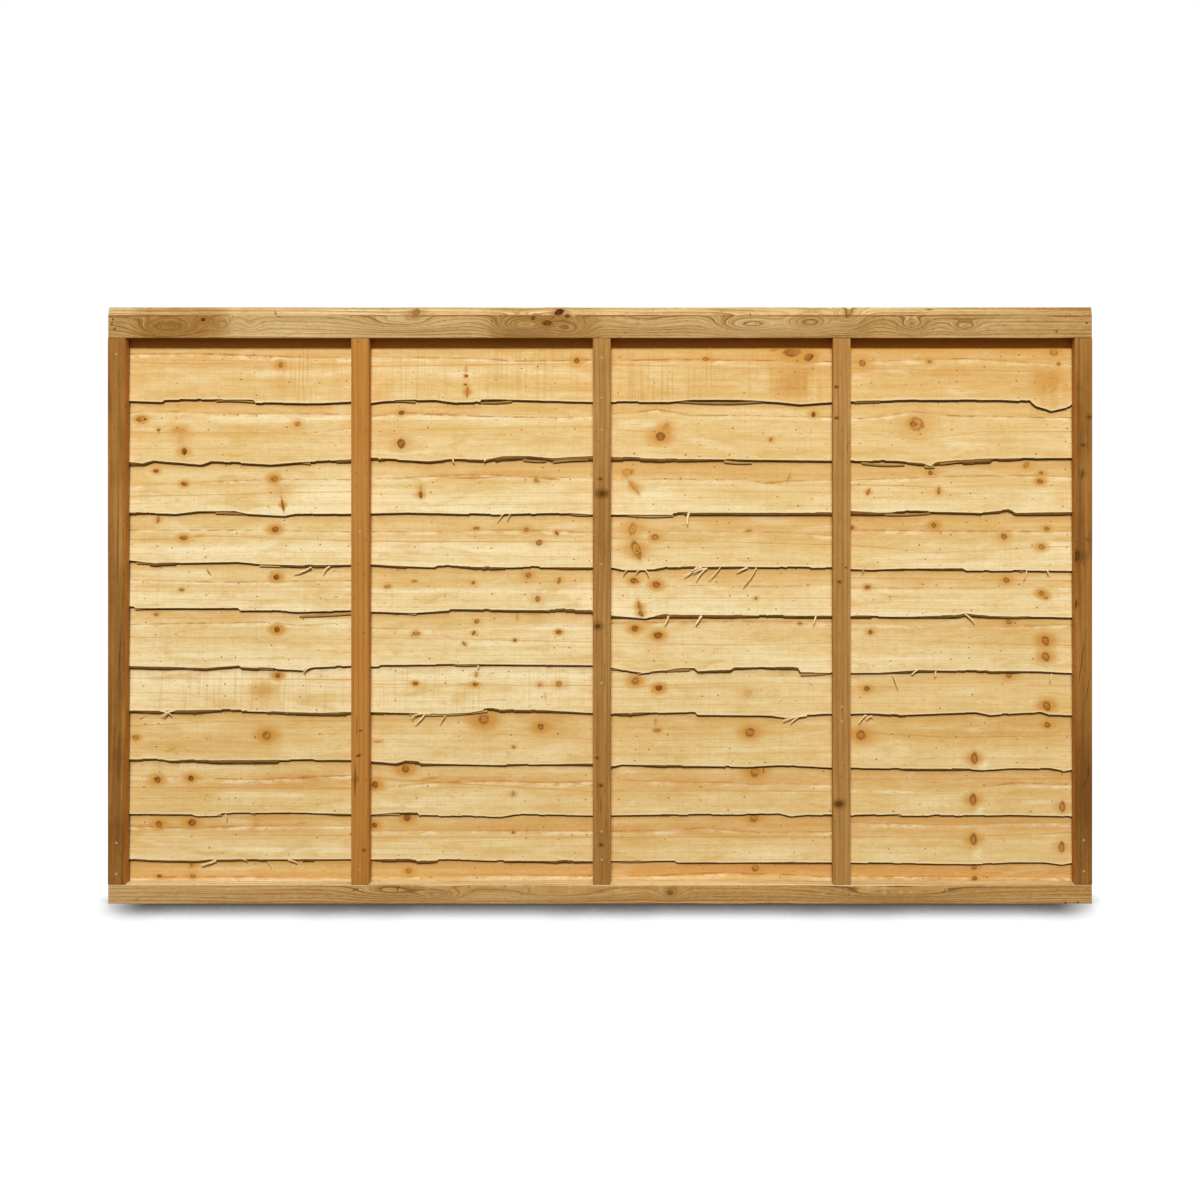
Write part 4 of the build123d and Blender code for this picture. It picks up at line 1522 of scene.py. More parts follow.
BOARDS = (
    WaneyBoard(1, 0.27, 0.57, -0.18, bark_run=0.0030, drop=0.0016, knots=(
        Knot(280, 365, 2.2, 1.2, 60, 0.6, 1.5), Knot(281, 384, 4.5, 3.4, 88, 0.16, 1.6),
        Knot(576.6, 360.5, 2.7, 1.0, 0, 0.75), Knot(585, 359.5, 1.0, 6, 0, 0.5),
        Knot(793, 352, 4.6, 1.9, 5, 0.75, 1.2), Knot(809, 357, 3.8, 1.3, 30, 0.85, 1.3),
        Knot(775, 350, 1.2, 5, 8, 0.6), Knot(706, 359, 1.8, 1.8, 0, 0.6), Knot(862.7, 363, 3.4, 1.0, 0, 0.6),
        Knot(930, 361.6, 1.8, 1.3, 0, 0.55), Knot(1054.6, 352, 3.6, 1.2, 0, 0.5),
        Knot(1059, 363.8, 1.9, 1.1, 0, 0.6), Knot(886, 345, 1.4, 3, 88, 0.95),
        Knot(466, 376, 1.3, 1.3, 0, 0.9), Knot(465.3, 384.5, 1.0, 1.2, 0, 0.9),
        Knot(467.3, 392, 1.5, 5, 85, 0.7, 1.6), Knot(465.8, 370, 0.9, 7, 88, 0.4, 1.2),
        Knot(1051, 385, 7, 1.8, 62, 0.22, 1.6)), splinters=(
            Splinter(254, 402, 215, 401.2, 1.7, True, 0.5), Splinter(268, 401.6, 320, 402.6, 1.8, True, 0.35),
            Splinter(415, 402, 392, 401.4, 1.8, True, 0.3), Splinter(442, 401.6, 456, 402.2, 1.7, True, 0.45),
            Splinter(512, 401.2, 480, 402.6, 1.8, True, 0.35),
            Splinter(768, 401.2, 676, 401.6, 1.8, True, 0.4), Splinter(855, 402.4, 880, 402, 1.8, True, 0.4)),
        streaks=(
            Streak(290, 372, 75, 2.6, 0.45), Streak(245, 356, 90, 9, -0.1, 0.45),
            Streak(430, 374, 60, 3.0, 0.5), Streak(580, 372, 120, 4, 0.25),
            Streak(700, 357, 120, 8, -0.08, 0.55), Streak(795, 384, 22, 15, -0.4, 1.0),
            Streak(803, 369, 12, 8, -0.3, 0.7), Streak(812, 386, 5, 16, 0.35),
            Streak(1046, 378, 14, 9, -0.4, 1.0), Streak(1054, 395, 16, 12, -0.12, 0.7),
            Streak(1048, 392, 3, 14, 0.4), Streak(1060, 394, 3, 13, 0.35),
            Streak(960, 354, 110, 6, 0.0, 0.35), Streak(382, 392, 10, 8, -0.2, 0.5),
            Streak(920, 385, 90, 14, -0.1, 0.25)),
        heart_line=((105, 354), (200, 354), (290, 357), (352, 358), (373, 357), (480, 358.5), (510, 361),
                    (600, 360),
                    (690, 360), (780, 360), (851, 362), (915, 359.5), (965, 358.5), (1030, 362), (1095, 364)),
        vein=((105, 361), (190, 364), (290, 362), (352, 365), (373, 366), (592, 363), (700, 368), (850, 368),
              (1095, 372)), saw=((262, 12, 0.5), (320, 34, 1.0), (480, 110, 0.6), (655, 62, 1.0),
                                 (778, 40, 0.6), (900, 60, 0.35)), warm=0.2),
    WaneyBoard(2, 0.54, 0.62, -0.06, bark_run=0.0095, drop=0.0014, knots=(
        Knot(140, 419, 2.7, 1.8, 5, 0.62, 1.3), Knot(144, 419.3, 1.2, 1.3, 0, 1.0),
        Knot(184, 451.5, 2.5, 1.4, 90, 0.9, 1.1), Knot(181, 436, 4.0, 2.6, 70, 0.2, 1.8),
        Knot(178, 430, 2.4, 3.0, 0, 0.35, 1.2), Knot(297, 424, 2.4, 1.2, 0, 0.5),
        Knot(158, 430, 1.3, 1, 0, 0.8), Knot(401, 443.7, 4.0, 1.2, 90, 0.75, 0.8),
        Knot(400.8, 412.8, 2.2, 1.3, 0, 0.85), Knot(660.7, 436.5, 4.4, 1.0, 0, 0.75, 1.2),
        Knot(666, 427, 2.6, 1.6, 60, 0.4, 1.5), Knot(813.8, 414.5, 2.0, 1.4, 90, 0.95),
        Knot(917, 424, 7.0, 1.1, 0, 0.55, 0.8), Knot(914, 424, 2.6, 1.4, 0, 0.7),
        Knot(771, 439.5, 1.4, 1.5, 70, 0.6)), splinters=(
            Splinter(310, 463.5, 281, 462, 2.4, True, 0.6), Splinter(523, 460, 546, 461.5, 2.0, True, 0.5),
            Splinter(553, 462, 588, 460, 2.2, True, 0.4), Splinter(724, 461.5, 752, 463, 2.6, True, 0.8),
            Splinter(452, 457, 454, 463, 1.6), Splinter(487, 457, 484.5, 461.5, 1.1),
            Splinter(862, 463, 905, 465, 2.2, True, 0.4), Splinter(940, 464, 968, 461, 2.0, True, 0.5),
            Splinter(925, 466, 935, 467, 4.0, True, 0.7)),
        streaks=(
            Streak(240, 408, 125, 7, -0.12, 0.6), Streak(250, 419, 110, 2.6, 0.4),
            Streak(480, 410, 115, 7, -0.05, 0.5), Streak(465, 420, 60, 3, 0.25), Streak(560, 421, 40, 3, 0.2),
            Streak(700, 409, 110, 7, -0.05, 0.4), Streak(795, 425, 40, 3.5, -0.16, 0.5),
            Streak(640, 424, 22, 3, 0.4), Streak(960, 412, 120, 8, -0.08, 0.4), Streak(240, 446, 110, 9, 0.1),
            Streak(1000, 443, 90, 10, 0.08), Streak(290, 422, 80, 2.6, 0.35)),
        heart_line=((105, 414), (175, 412.5), (215, 415), (352, 415), (373, 416.5), (400, 414), (460, 416),
                    (560, 418),
                    (592, 417), (612, 415), (640, 413), (657, 410.5), (690, 416), (740, 415.5), (830, 417),
                    (851, 419), (910, 413.5), (960, 416), (1095, 418)),
        vein=((105, 432), (150, 433), (305, 434), (352, 428.5), (373, 432), (440, 430), (520, 428),
              (592, 427), (612, 429),
              (650, 433), (690, 427), (760, 430), (830, 429), (851, 429), (890, 437), (930, 438), (980, 432),
              (1095, 432))),
    WaneyBoard(3, 0.32, 0.85, -0.12, bark_run=0.0085, knots=(
        Knot(155, 471, 1.9, 1.5, 0, 0.8), Knot(183.5, 484, 2.0, 1.6, -20, 0.75, 1.2),
        Knot(273.5, 479, 2.6, 1.3, 0, 0.65, 1.6), Knot(282.6, 505, 1.35, 8, -79, 1.0, 1.6),
        Knot(279, 491, 4.5, 1.8, -70, 0.18, 1.6), Knot(420.5, 489, 1.8, 3.2, 90, 0.4),
        Knot(420.5, 495, 1.9, 1.8, 90, 0.8), Knot(536, 480, 1.8, 1.3, 80, 0.5),
        Knot(627, 473, 4.2, 1.2, 0, 0.35), Knot(631.5, 472, 1.4, 1.8, 70, 0.6),
        Knot(635, 488, 2.4, 4.6, -60, 0.42, 1.2), Knot(631, 485, 1.0, 8, -58, 0.6),
        Knot(789, 478, 0.9, 9, 72, 0.5), Knot(772, 483, 0.9, 16, 2, 0.5),
        Knot(931, 473, 2.5, 1, 0, 0.75, 0.8), Knot(939, 491, 1.6, 2.8, 85, 0.65),
        Knot(868.5, 492, 1.6, 2.2, 70, 0.65), Knot(1027, 465, 2.8, 1.3, 60, 0.5),
        Knot(1042, 473, 1.8, 1.2, 0, 0.65), Knot(1040.7, 481.5, 2.2, 1.3, 0, 0.7, 1.4),
        Knot(551, 479, 0.9, 14, -2, 0.6), Knot(472, 478, 1.2, 22, 1, 0.5, 1.2)), splinters=(
            Splinter(503.5, 513.5, 496.8, 520.7, 1.0, pale=0.4),
            Splinter(510.5, 514, 507, 519, 0.9, pale=0.5), Splinter(505, 513.5, 523, 513, 2.2, True, 0.6),
            Splinter(570, 513.5, 592, 515, 3.0, True, 0.5), Splinter(627, 515, 673.6, 516.2, 2.4, True, 0.8),
            Splinter(689, 512.5, 687.4, 524, 1.7, pale=1.0), Splinter(215, 513, 250, 514, 2.2, True, 0.4),
            Splinter(262, 515, 280, 516.5, 2.0, True, 0.6), Splinter(885, 514.5, 930, 513.5, 2.2, True, 0.5)),
        streaks=(
            Streak(230, 474, 120, 5, 0.25), Streak(190, 484, 90, 2.0, -0.3, 0.4),
            Streak(470, 470, 110, 9, -0.08, 0.3), Streak(490, 478, 80, 3.2, -0.25, 0.9),
            Streak(720, 472, 110, 8, -0.2, 0.45), Streak(950, 474, 110, 9, -0.1, 0.4),
            Streak(655, 492, 20, 8, 0.25), Streak(1050, 495, 30, 14, 0.2), Streak(330, 492, 30, 8, 0.2)),
        heart_line=((105, 486), (183, 484.5), (210, 482), (273, 479.5), (352, 480), (373, 479),
                    (400, 478.5), (440, 476.5), (485, 475.5), (520, 477), (592, 479), (612, 480),
                    (700, 480), (745, 479), (765, 483), (785, 481), (830, 480), (851, 480.5),
                    (900, 478.5), (950, 476.5), (1030, 476), (1095, 478)),
        vein=((105, 497), (352, 492), (373, 494), (592, 493), (612, 490), (830, 493), (851, 485), (900, 486),
              (940, 488),
              (1000, 484.5), (1095, 487))),
    WaneyBoard(4, 0.38, 0.84, -0.22, bark_run=0.0080, knots=(
        Knot(157, 520, 1.6, 2.2, 80, 0.6), Knot(183, 538, 2.2, 1.8, 0, 0.65, 1.2),
        Knot(198, 536, 1.0, 9, 3, 0.35), Knot(274.5, 529.6, 2.8, 1.2, 0, 0.75, 1.5),
        Knot(526, 530, 2.2, 1.1, 0, 0.55), Knot(539, 543, 3.0, 1.1, 20, 0.6, 0.6),
        Knot(476, 528.5, 1.4, 2.2, 0, 0.65), Knot(556.5, 533.5, 1.3, 1.8, -60, 0.75),
        Knot(632.5, 529.5, 3.8, 1.7, 80, 0.4, 1.3), Knot(655, 537.5, 3.0, 1.1, 0, 0.55, 1.3),
        Knot(636, 549, 4.4, 2.0, -66, 0.5, 1.3), Knot(638, 555, 2.2, 2.4, -70, 0.7),
        Knot(934.5, 525.5, 2.6, 1, 0, 0.7, 1.5), Knot(1047.5, 528.8, 2.1, 1.2, 0, 0.65),
        Knot(1004.5, 536.5, 2.8, 1.1, 0, 0.65), Knot(1042, 547, 2.7, 1.1, 0, 0.55, 1.3),
        Knot(852, 528, 2.0, 1.2, 0, 0.75), Knot(749, 531, 1.2, 3, 5, 0.6)), splinters=(
            Splinter(136, 563, 182, 563, 2.2, True, 0.4), Splinter(259, 566, 280, 567, 1.8, True, 0.9),
            Splinter(311, 567.5, 294, 573, 1.5), Splinter(302, 571, 312, 567, 1.1),
            Splinter(329.5, 566.5, 323, 573, 1.3), Splinter(206.5, 568, 210.5, 571.7, 1.2, pale=0.1),
            Splinter(398, 565.5, 381, 565.5, 2.2, True, 0.8),
            Splinter(400, 566.5, 435, 567.2, 2.2, True, 0.3), Splinter(490, 568, 517, 567, 2.2, True, 0.5),
            Splinter(697, 567, 684, 576, 1.3), Splinter(707.4, 568, 696, 579.5, 1.2),
            Splinter(707, 568.5, 693, 572.5, 1.4), Splinter(702, 567.5, 691, 571, 1.2),
            Splinter(720.5, 567, 708.5, 579, 0.9, pale=0.6), Splinter(748, 567.5, 737, 571.5, 1.4),
            Splinter(756.6, 567.5, 743.2, 586, 1.3, pale=0.5), Splinter(629, 568.5, 623, 575, 1.2, pale=0.3),
            Splinter(645, 569.5, 649, 576, 1.3, pale=0.3), Splinter(640, 569.5, 636, 573, 1.2, pale=0.2),
            Splinter(1030, 569, 1020, 572, 1.8, True, 0.7), Splinter(1047, 568, 1049, 574, 1.1),
            Splinter(1027, 569.5, 1024, 579, 1.1, pale=0.6), Splinter(868, 567, 900, 569, 2.0, True, 0.5),
            Splinter(865, 566, 862.5, 572, 1.1, pale=0.3)),
        streaks=(
            Streak(210, 537, 75, 2.6, -0.22, 0.6), Streak(250, 549, 110, 3, 0.3),
            Streak(200, 526, 60, 3, 0.25), Streak(480, 533, 110, 5, -0.2, 0.4), Streak(480, 546, 110, 4, 0.3),
            Streak(720, 528, 120, 9, -0.17, 0.4), Streak(950, 527, 120, 8, -0.1, 0.4),
            Streak(880, 521, 40, 4, -0.1, 0.3), Streak(770, 545, 60, 3, -0.1, 0.3),
            Streak(1060, 545, 20, 10, 0.3)),
        heart_line=((105, 530), (260, 530), (352, 532), (440, 531), (500, 530), (592, 532), (700, 531),
                    (780, 532), (830, 536), (851, 530), (1095, 532)),
        vein=((105, 540), (160, 539), (183, 538), (210, 535.5), (352, 541), (592, 541), (612, 538),
              (851, 545), (930, 552), (985, 550.5), (1042, 547), (1095, 545))),
    WaneyBoard(5, 0.39, 0.96, -0.18, bark_run=0.0085, knots=(
        Knot(275.6, 577.5, 2.6, 1.1, 0, 0.85, 1.5), Knot(181, 590, 1.5, 1.6, 0, 0.6),
        Knot(528, 575.6, 2.7, 1.0, 0, 0.6, 1.2), Knot(537.6, 599, 2.4, 1.2, 80, 0.6, 0.8),
        Knot(387, 587, 1.6, 2.2, 0, 0.5), Knot(414, 581.5, 1.1, 3, 0, 0.7),
        Knot(559, 581, 1.5, 2.2, 70, 0.65), Knot(473, 583, 1.2, 1.6, 40, 0.7),
        Knot(633.6, 581, 2.6, 1.2, 0, 0.75, 1.2), Knot(656.3, 585, 3.0, 1.2, -10, 0.7, 1.4),
        Knot(639.5, 607, 1.9, 4.8, -74, 0.7, 1.2), Knot(641, 614, 2.0, 1.6, -60, 0.8),
        Knot(1007, 580.5, 2.8, 1.1, 0, 0.65), Knot(1042, 593.6, 2.4, 1.1, 0, 0.7, 1.4),
        Knot(1046, 597.5, 1.9, 1.2, 0, 0.7), Knot(867.7, 587.6, 1.9, 1.5, 10, 0.75),
        Knot(936.5, 567, 2.4, 1.1, 0, 0.6), Knot(756, 598.5, 1.2, 1, 0, 0.7)), splinters=(
            Splinter(134, 609, 167, 608.6, 2.4, True, 0.95),
            Splinter(352, 613.5, 299, 616.6, 2.4, True, 0.75), Splinter(330, 614, 302, 616, 1.2, True, 0.3),
            Splinter(416, 613.5, 376, 612, 3.6, True, 0.8), Splinter(415, 609, 452, 610, 2.0, True, 0.9),
            Splinter(592, 611.5, 520, 611, 1.8, True, 0.4), Splinter(668.5, 616, 665, 624, 1.5, pale=0.95),
            Splinter(701.5, 615.8, 695.8, 624, 1.9, pale=1.0),
            Splinter(816, 616.2, 813.5, 623.5, 1.3, pale=0.9), Splinter(628, 616, 640, 619, 2.4, True, 0.8),
            Splinter(965, 614, 975, 622.5, 1.2, pale=0.9), Splinter(725, 615, 745, 616, 2.0, True, 0.6),
            Splinter(1000, 617, 1040, 616, 2.0, True, 0.4)),
        streaks=(
            Streak(190, 574, 60, 3, 0.35), Streak(205, 590, 60, 3, -0.15, 0.35),
            Streak(320, 592, 40, 5, 0.15, 0.1), Streak(470, 582, 100, 3, -0.15, 0.4),
            Streak(470, 592, 110, 3, 0.3), Streak(720, 578, 110, 7, -0.1, 0.35),
            Streak(960, 580, 110, 8, -0.1, 0.4), Streak(730, 600, 90, 8, -0.02)),
        heart_line=((105, 580), (220, 582), (352, 581), (373, 589), (450, 590), (592, 590), (612, 588),
                    (700, 586), (770, 587), (830, 585), (851, 588), (950, 589), (1095, 588)),
        vein=((105, 591), (352, 592), (373, 583), (592, 582), (612, 598), (830, 598), (851, 578),
              (1095, 581))),
    WaneyBoard(6, 0.56, 0.84, -0.2, bark_run=0.0080, knots=(
        Knot(276.4, 630, 2.8, 1.0, 0, 0.85, 1.6), Knot(155, 615, 1.6, 1.4, 0, 0.6),
        Knot(415.7, 634, 1.9, 2.0, 0, 0.5, 1.3), Knot(476.4, 622, 2.2, 1.2, 20, 0.6, 0.5),
        Knot(473.5, 633.5, 1.3, 1.8, 60, 0.75), Knot(558.5, 632.5, 1.8, 1.5, 0, 0.75, 1.3),
        Knot(514.7, 640.7, 1.3, 1, 0, 0.95), Knot(634.8, 629, 2.8, 1.2, 0, 0.75, 1.3),
        Knot(658, 635.8, 3.0, 1.4, 0, 0.8, 1.4), Knot(537, 614, 1.0, 18, 4, 0.45),
        Knot(517, 618, 1.0, 5, 88, 0.45), Knot(464, 644, 1.2, 2.2, -50, 0.6),
        Knot(1009.6, 622.4, 2.4, 1.2, 0, 0.7), Knot(1046, 641, 3.7, 1.3, -58, 0.65, 1.5),
        Knot(1046, 656.8, 3.6, 1.3, -58, 0.6, 1.3), Knot(870.9, 632.5, 2.0, 1.2, 80, 0.75),
        Knot(800, 624, 1.2, 1.6, 0, 0.7), Knot(797, 679.5, 0.5, 7, 74, 1.0, 0.0)), splinters=(
            Splinter(138, 665.5, 155, 665, 1.6, True, 0.8), Splinter(185, 668, 208, 668.5, 2.8, True, 0.35),
            Splinter(241, 667.5, 273, 669.5, 2.6, True, 0.4), Splinter(313, 665.8, 304, 671.5, 1.3),
            Splinter(309, 666, 303, 670.5, 1.1), Splinter(453, 665, 478, 665.5, 2.0, True, 0.3),
            Splinter(478, 665.5, 478, 668, 1.2), Splinter(612, 669, 628, 670.5, 2.4, True, 0.6),
            Splinter(696, 668.2, 638, 674.5, 2.2, True, 0.85),
            Splinter(690, 670.5, 650, 671.5, 1.6, True, 0.3),
            Splinter(700, 670.5, 732, 669.8, 2.8, True, 0.85), Splinter(893, 675, 898, 688, 1.0, pale=0.6),
            Splinter(912, 674.5, 919.5, 669, 1.3), Splinter(936, 671, 935, 676, 1.1),
            Splinter(1052, 674, 1050, 681, 1.1), Splinter(801, 675, 830, 673.5, 2.4, True, 0.7),
            Splinter(850, 671, 890, 673, 2.2, True, 0.7)),
        streaks=(
            Streak(240, 619, 115, 4, -0.12, 0.3), Streak(240, 625.5, 115, 2.0, 0.35),
            Streak(330, 625, 25, 3, 0.4), Streak(250, 638, 110, 1.8, -0.1, 0.2),
            Streak(480, 621, 110, 6, -0.1, 0.3), Streak(552, 628, 35, 3, 0.4), Streak(470, 640, 110, 3, 0.12),
            Streak(720, 626, 110, 7, -0.06, 0.3), Streak(950, 628, 110, 8, -0.08, 0.3),
            Streak(655, 648, 16, 14, -0.15, 0.2)),
        heart_line=((105, 627), (175, 624), (260, 622.5), (300, 626), (352, 623), (373, 629), (440, 630),
                    (520, 627), (592, 627), (612, 624), (830, 622), (851, 624), (950, 627), (1095, 625)),
        vein=((105, 637), (352, 640), (373, 638), (592, 642), (720, 645), (830, 643), (890, 640),
              (960, 643), (1095, 646))),
    WaneyBoard(7, 0.86, 0.73, -0.26, bark_run=0.0095, knots=(
        Knot(277, 676, 2.4, 1.1, 0, 0.9, 1.6), Knot(262, 690, 4, 2, 80, 0.16, 1.8),
        Knot(415, 684, 1.6, 1.6, 0, 0.8, 1.3), Knot(475, 684.8, 1.6, 1.6, 0, 0.8, 1.3),
        Knot(470, 684, 0.9, 24, 1, 0.3, 0.6), Knot(558.8, 684.5, 2.8, 1.1, 0, 0.5, 0.8),
        Knot(540, 685, 2.2, 1.1, 0, 0.35), Knot(635.4, 681.5, 3.2, 1.2, 40, 0.6, 1.5),
        Knot(658.9, 688.5, 2.6, 1.4, 0, 0.9, 1.7), Knot(748, 694, 4, 1.2, 0, 0.25),
        Knot(1009.5, 676, 2.6, 1.1, 0, 0.7), Knot(1047, 706, 3.6, 1.3, -55, 0.65, 1.5),
        Knot(867, 689, 2.4, 1.2, 0, 0.75), Knot(476, 675, 1.6, 2, 80, 0.4),
        Knot(545, 697, 1.0, 8, -80, 0.25)), splinters=(
            Splinter(175, 710.5, 161, 716, 1.4), Splinter(170, 711, 163, 717, 1.1, pale=0.6),
            Splinter(160, 711, 172, 714.5, 1.2), Splinter(281, 710.5, 287, 714, 2.2, True, 0.9),
            Splinter(487, 711.5, 409, 715.6, 2.0, True, 0.95), Splinter(425, 714, 415, 724, 1.4, pale=0.85),
            Splinter(445, 716, 440, 722, 1.1, pale=0.4), Splinter(430, 714, 411, 717, 1.4, pale=0.9),
            Splinter(643, 713, 613, 714, 2.0, True, 0.4), Splinter(697, 713.5, 730, 716, 2.4, True, 0.7),
            Splinter(807, 715.5, 783, 720, 1.5), Splinter(800, 716, 790, 722, 1.1),
            Splinter(866, 715, 859, 722, 1.3), Splinter(872, 716, 866, 719, 1.1),
            Splinter(320, 711, 345, 712, 1.8, True, 0.6)),
        streaks=(
            Streak(250, 673, 120, 6, 0.34, 0.05), Streak(470, 674, 110, 6, 0.3),
            Streak(480, 702, 110, 7, 0.14), Streak(545, 676, 40, 5, 0.25), Streak(565, 677, 22, 3, 0.4),
            Streak(700, 684, 110, 9, -0.05, 0.25), Streak(950, 684, 120, 12, -0.18, 0.45),
            Streak(262, 692, 16, 16, -0.22, 0.4), Streak(240, 696, 100, 9, -0.08, 0.12)),
        vein=((105, 679), (352, 680), (373, 684), (475, 686), (592, 686), (612, 688), (670, 686),
              (750, 683), (830, 685), (851, 688), (1095, 686)),
        saw=((240, 110, 0.75), (470, 100, 0.65))),
    WaneyBoard(8, 0.36, 0.64, -0.06, bark_run=0.0085, knots=(
        Knot(266, 736, 4.0, 1.1, 0, 0.6, 1.6), Knot(266, 736, 9.0, 1.5, 0, 0.1, 1.4),
        Knot(135, 738, 2.4, 1.3, 0, 0.5, 1.5), Knot(171, 750, 1.2, 9, 24, 0.3),
        Knot(483.3, 720, 4.6, 1.2, 0, 0.6, 1.8), Knot(540.4, 727.5, 3.0, 1.0, 0, 0.8, 1.5),
        Knot(548, 724, 8.0, 1.4, 60, 0.12, 1.5), Knot(750, 733, 4.2, 1.1, 0, 0.6, 1.4),
        Knot(657, 731, 1.8, 2.4, 0, 0.55), Knot(655.5, 722, 0.9, 7, 88, 0.5),
        Knot(861, 735.6, 4.6, 1.0, 0, 0.6, 1.3), Knot(1048, 725.5, 2.8, 1.1, 0, 0.65),
        Knot(974.6, 758.5, 3.3, 1.7, 90, 0.6, 1.3), Knot(513.5, 747.5, 1.2, 1, 0, 0.7),
        Knot(378, 742, 1.0, 6, 0, 0.5)), splinters=(
            Splinter(214, 760, 255, 760.5, 2.4, True, 0.35), Splinter(289, 759.5, 306, 759, 1.8, True, 0.5),
            Splinter(340, 759.5, 316, 758.8, 2.4, True, 0.7), Splinter(376, 762, 398, 762.5, 2.0, True, 0.9),
            Splinter(697, 764, 712, 763.8, 1.8, True, 0.4), Splinter(624, 764.5, 660, 765, 2.2, True, 0.8),
            Splinter(878, 767.5, 899, 767.5, 2.2, True, 0.6), Splinter(1000, 767, 1040, 766, 2.0, True, 0.5),
            Splinter(150, 714, 139, 719, 1.0, pale=0.3)),
        streaks=(
            Streak(200, 724, 70, 5, 0.1, 0.15), Streak(205, 744, 60, 4, -0.1, 0.45),
            Streak(300, 752, 60, 4, 0.1), Streak(400, 740, 50, 10, 0.12), Streak(480, 722, 18, 12, -0.3, 0.1),
            Streak(543, 722, 26, 14, -0.22, 0.2), Streak(720, 728, 110, 8, -0.05, 0.3),
            Streak(960, 735, 120, 10, -0.12, 0.35), Streak(520, 752, 60, 6, 0.15),
            # painted highlight: a small pale patch beside the knot
            Streak(982, 764, 6, 4, 0.35)),
        vein=((105, 728), (220, 722), (352, 722), (373, 734.5), (480, 733.5), (592, 740), (612, 727),
              (720, 732), (830, 731), (851, 733), (950, 738), (1095, 736))),
    WaneyBoard(9, 0.4, 0.6, -0.02, bark_run=0.0065, knots=(
        Knot(156.5, 780.5, 3.0, 1.1, 0, 0.75, 1.2), Knot(190, 779, 2.6, 1.1, 0, 0.85, 1.3),
        Knot(405, 769.6, 3.8, 1.0, 0, 0.75, 1.5), Knot(374.6, 785.4, 3.2, 1.0, 0, 0.8, 1.4),
        Knot(513, 794, 1.6, 1.6, 80, 0.45), Knot(755, 773, 4.6, 1.0, 0, 0.6, 1.4),
        Knot(762, 771, 2.6, 1.0, 0, 0.3), Knot(973.4, 800, 3.3, 1.7, 90, 0.6, 1.3),
        Knot(1062.5, 807, 3.0, 1.8, 90, 0.55), Knot(304, 778, 1.2, 4, 5, 0.6),
        Knot(430, 779, 1.0, 12, 8, 0.45)), splinters=(
            Splinter(225, 814.5, 226.5, 820, 1.2, pale=0.5), Splinter(197, 815.5, 221, 816, 2.8, True, 0.7),
            Splinter(252, 813.5, 254, 815.5, 1.8, True, 0.5), Splinter(786, 814, 806, 815.5, 2.2, True, 0.7),
            Splinter(641, 811, 612, 815.5, 1.6, True, 1.0), Splinter(375, 815, 400, 815.5, 2.0, True, 0.8),
            Splinter(898, 815, 922, 815.5, 2.2, True, 0.95), Splinter(568, 814.5, 592, 816, 2.4, True, 0.3)),
        streaks=(
            Streak(240, 769, 115, 4.5, 0.42), Streak(310, 780, 55, 7, -0.25, 0.8),
            Streak(240, 788, 80, 6, -0.12, 0.4), Streak(270, 796, 50, 5, 0.25),
            Streak(480, 772, 110, 4.5, 0.36), Streak(960, 770, 120, 5, -0.08),
            Streak(500, 781, 95, 6, -0.2, 0.8), Streak(400, 796, 40, 8, 0.1), Streak(700, 772, 90, 4, 0.2),
            Streak(720, 782, 110, 6, -0.18, 0.8), Streak(950, 783, 120, 8, -0.15, 0.6),
            Streak(480, 804, 110, 8, 0.15), Streak(700, 804, 110, 8, 0.1), Streak(960, 804, 120, 8, 0.16),
            # painted highlight: a small pale patch beside the knot
            Streak(979, 809, 5, 6, 0.35)),
        heart_line=((105, 776), (250, 781), (300, 779), (352, 776), (373, 790), (400, 786), (440, 783),
                    (500, 782), (560, 784), (592, 782), (612, 781), (680, 783), (750, 784), (830, 785),
                    (851, 789), (960, 792), (975, 789), (1010, 784), (1095, 785)),
        vein=((105, 788), (352, 789), (373, 779), (592, 792), (612, 791), (830, 792), (851, 780),
              (1095, 779))),
    WaneyBoard(10, 0.33, 0.68, 0.0, bark_run=0.0070, knots=(
        Knot(158, 825, 3.0, 1.1, 0, 0.65, 1.3), Knot(191, 823.5, 3.4, 1.2, 20, 0.8, 1.3),
        Knot(255.5, 823, 3.6, 1.1, 0, 0.25), Knot(406.5, 818.5, 3.4, 1.1, 0, 1.0, 1.3),
        Knot(374, 826, 2.4, 1.1, 0, 0.8, 1.3), Knot(754, 819, 3.8, 1.1, 0, 0.6, 1.3),
        Knot(974, 840, 3.3, 1.7, 90, 0.6, 1.3), Knot(1062, 847.5, 3.0, 1.8, 90, 0.55),
        Knot(513, 833, 1.2, 1.2, 0, 0.7), Knot(300, 824, 1.0, 10, 8, 0.35)), splinters=(
            Splinter(216, 860.5, 201.5, 864.3, 2.0, pale=0.7), Splinter(242, 859.5, 247, 861, 1.2, pale=0.4),
            Splinter(288, 860, 297, 862, 1.4, pale=0.5), Splinter(417, 861, 438, 861.5, 2.2, True, 0.6),
            Splinter(475, 860.5, 437, 860, 1.6, True, 0.4), Splinter(730, 861, 677, 862.5, 2.0, True, 0.9),
            Splinter(586, 816, 581, 821, 1.0, pale=0.3), Splinter(865, 861, 905, 862, 2.2, True, 0.5),
            Splinter(1000, 862, 1050, 863, 2.2, True, 0.4), Splinter(619, 862, 660, 861, 1.8, True, 0.5)),
        streaks=(
            Streak(170, 820, 45, 6, 0.2), Streak(285, 831, 70, 7, -0.25, 0.85),
            Streak(180, 843, 60, 7, 0.1, 0.3), Streak(280, 850, 70, 6, 0.2),
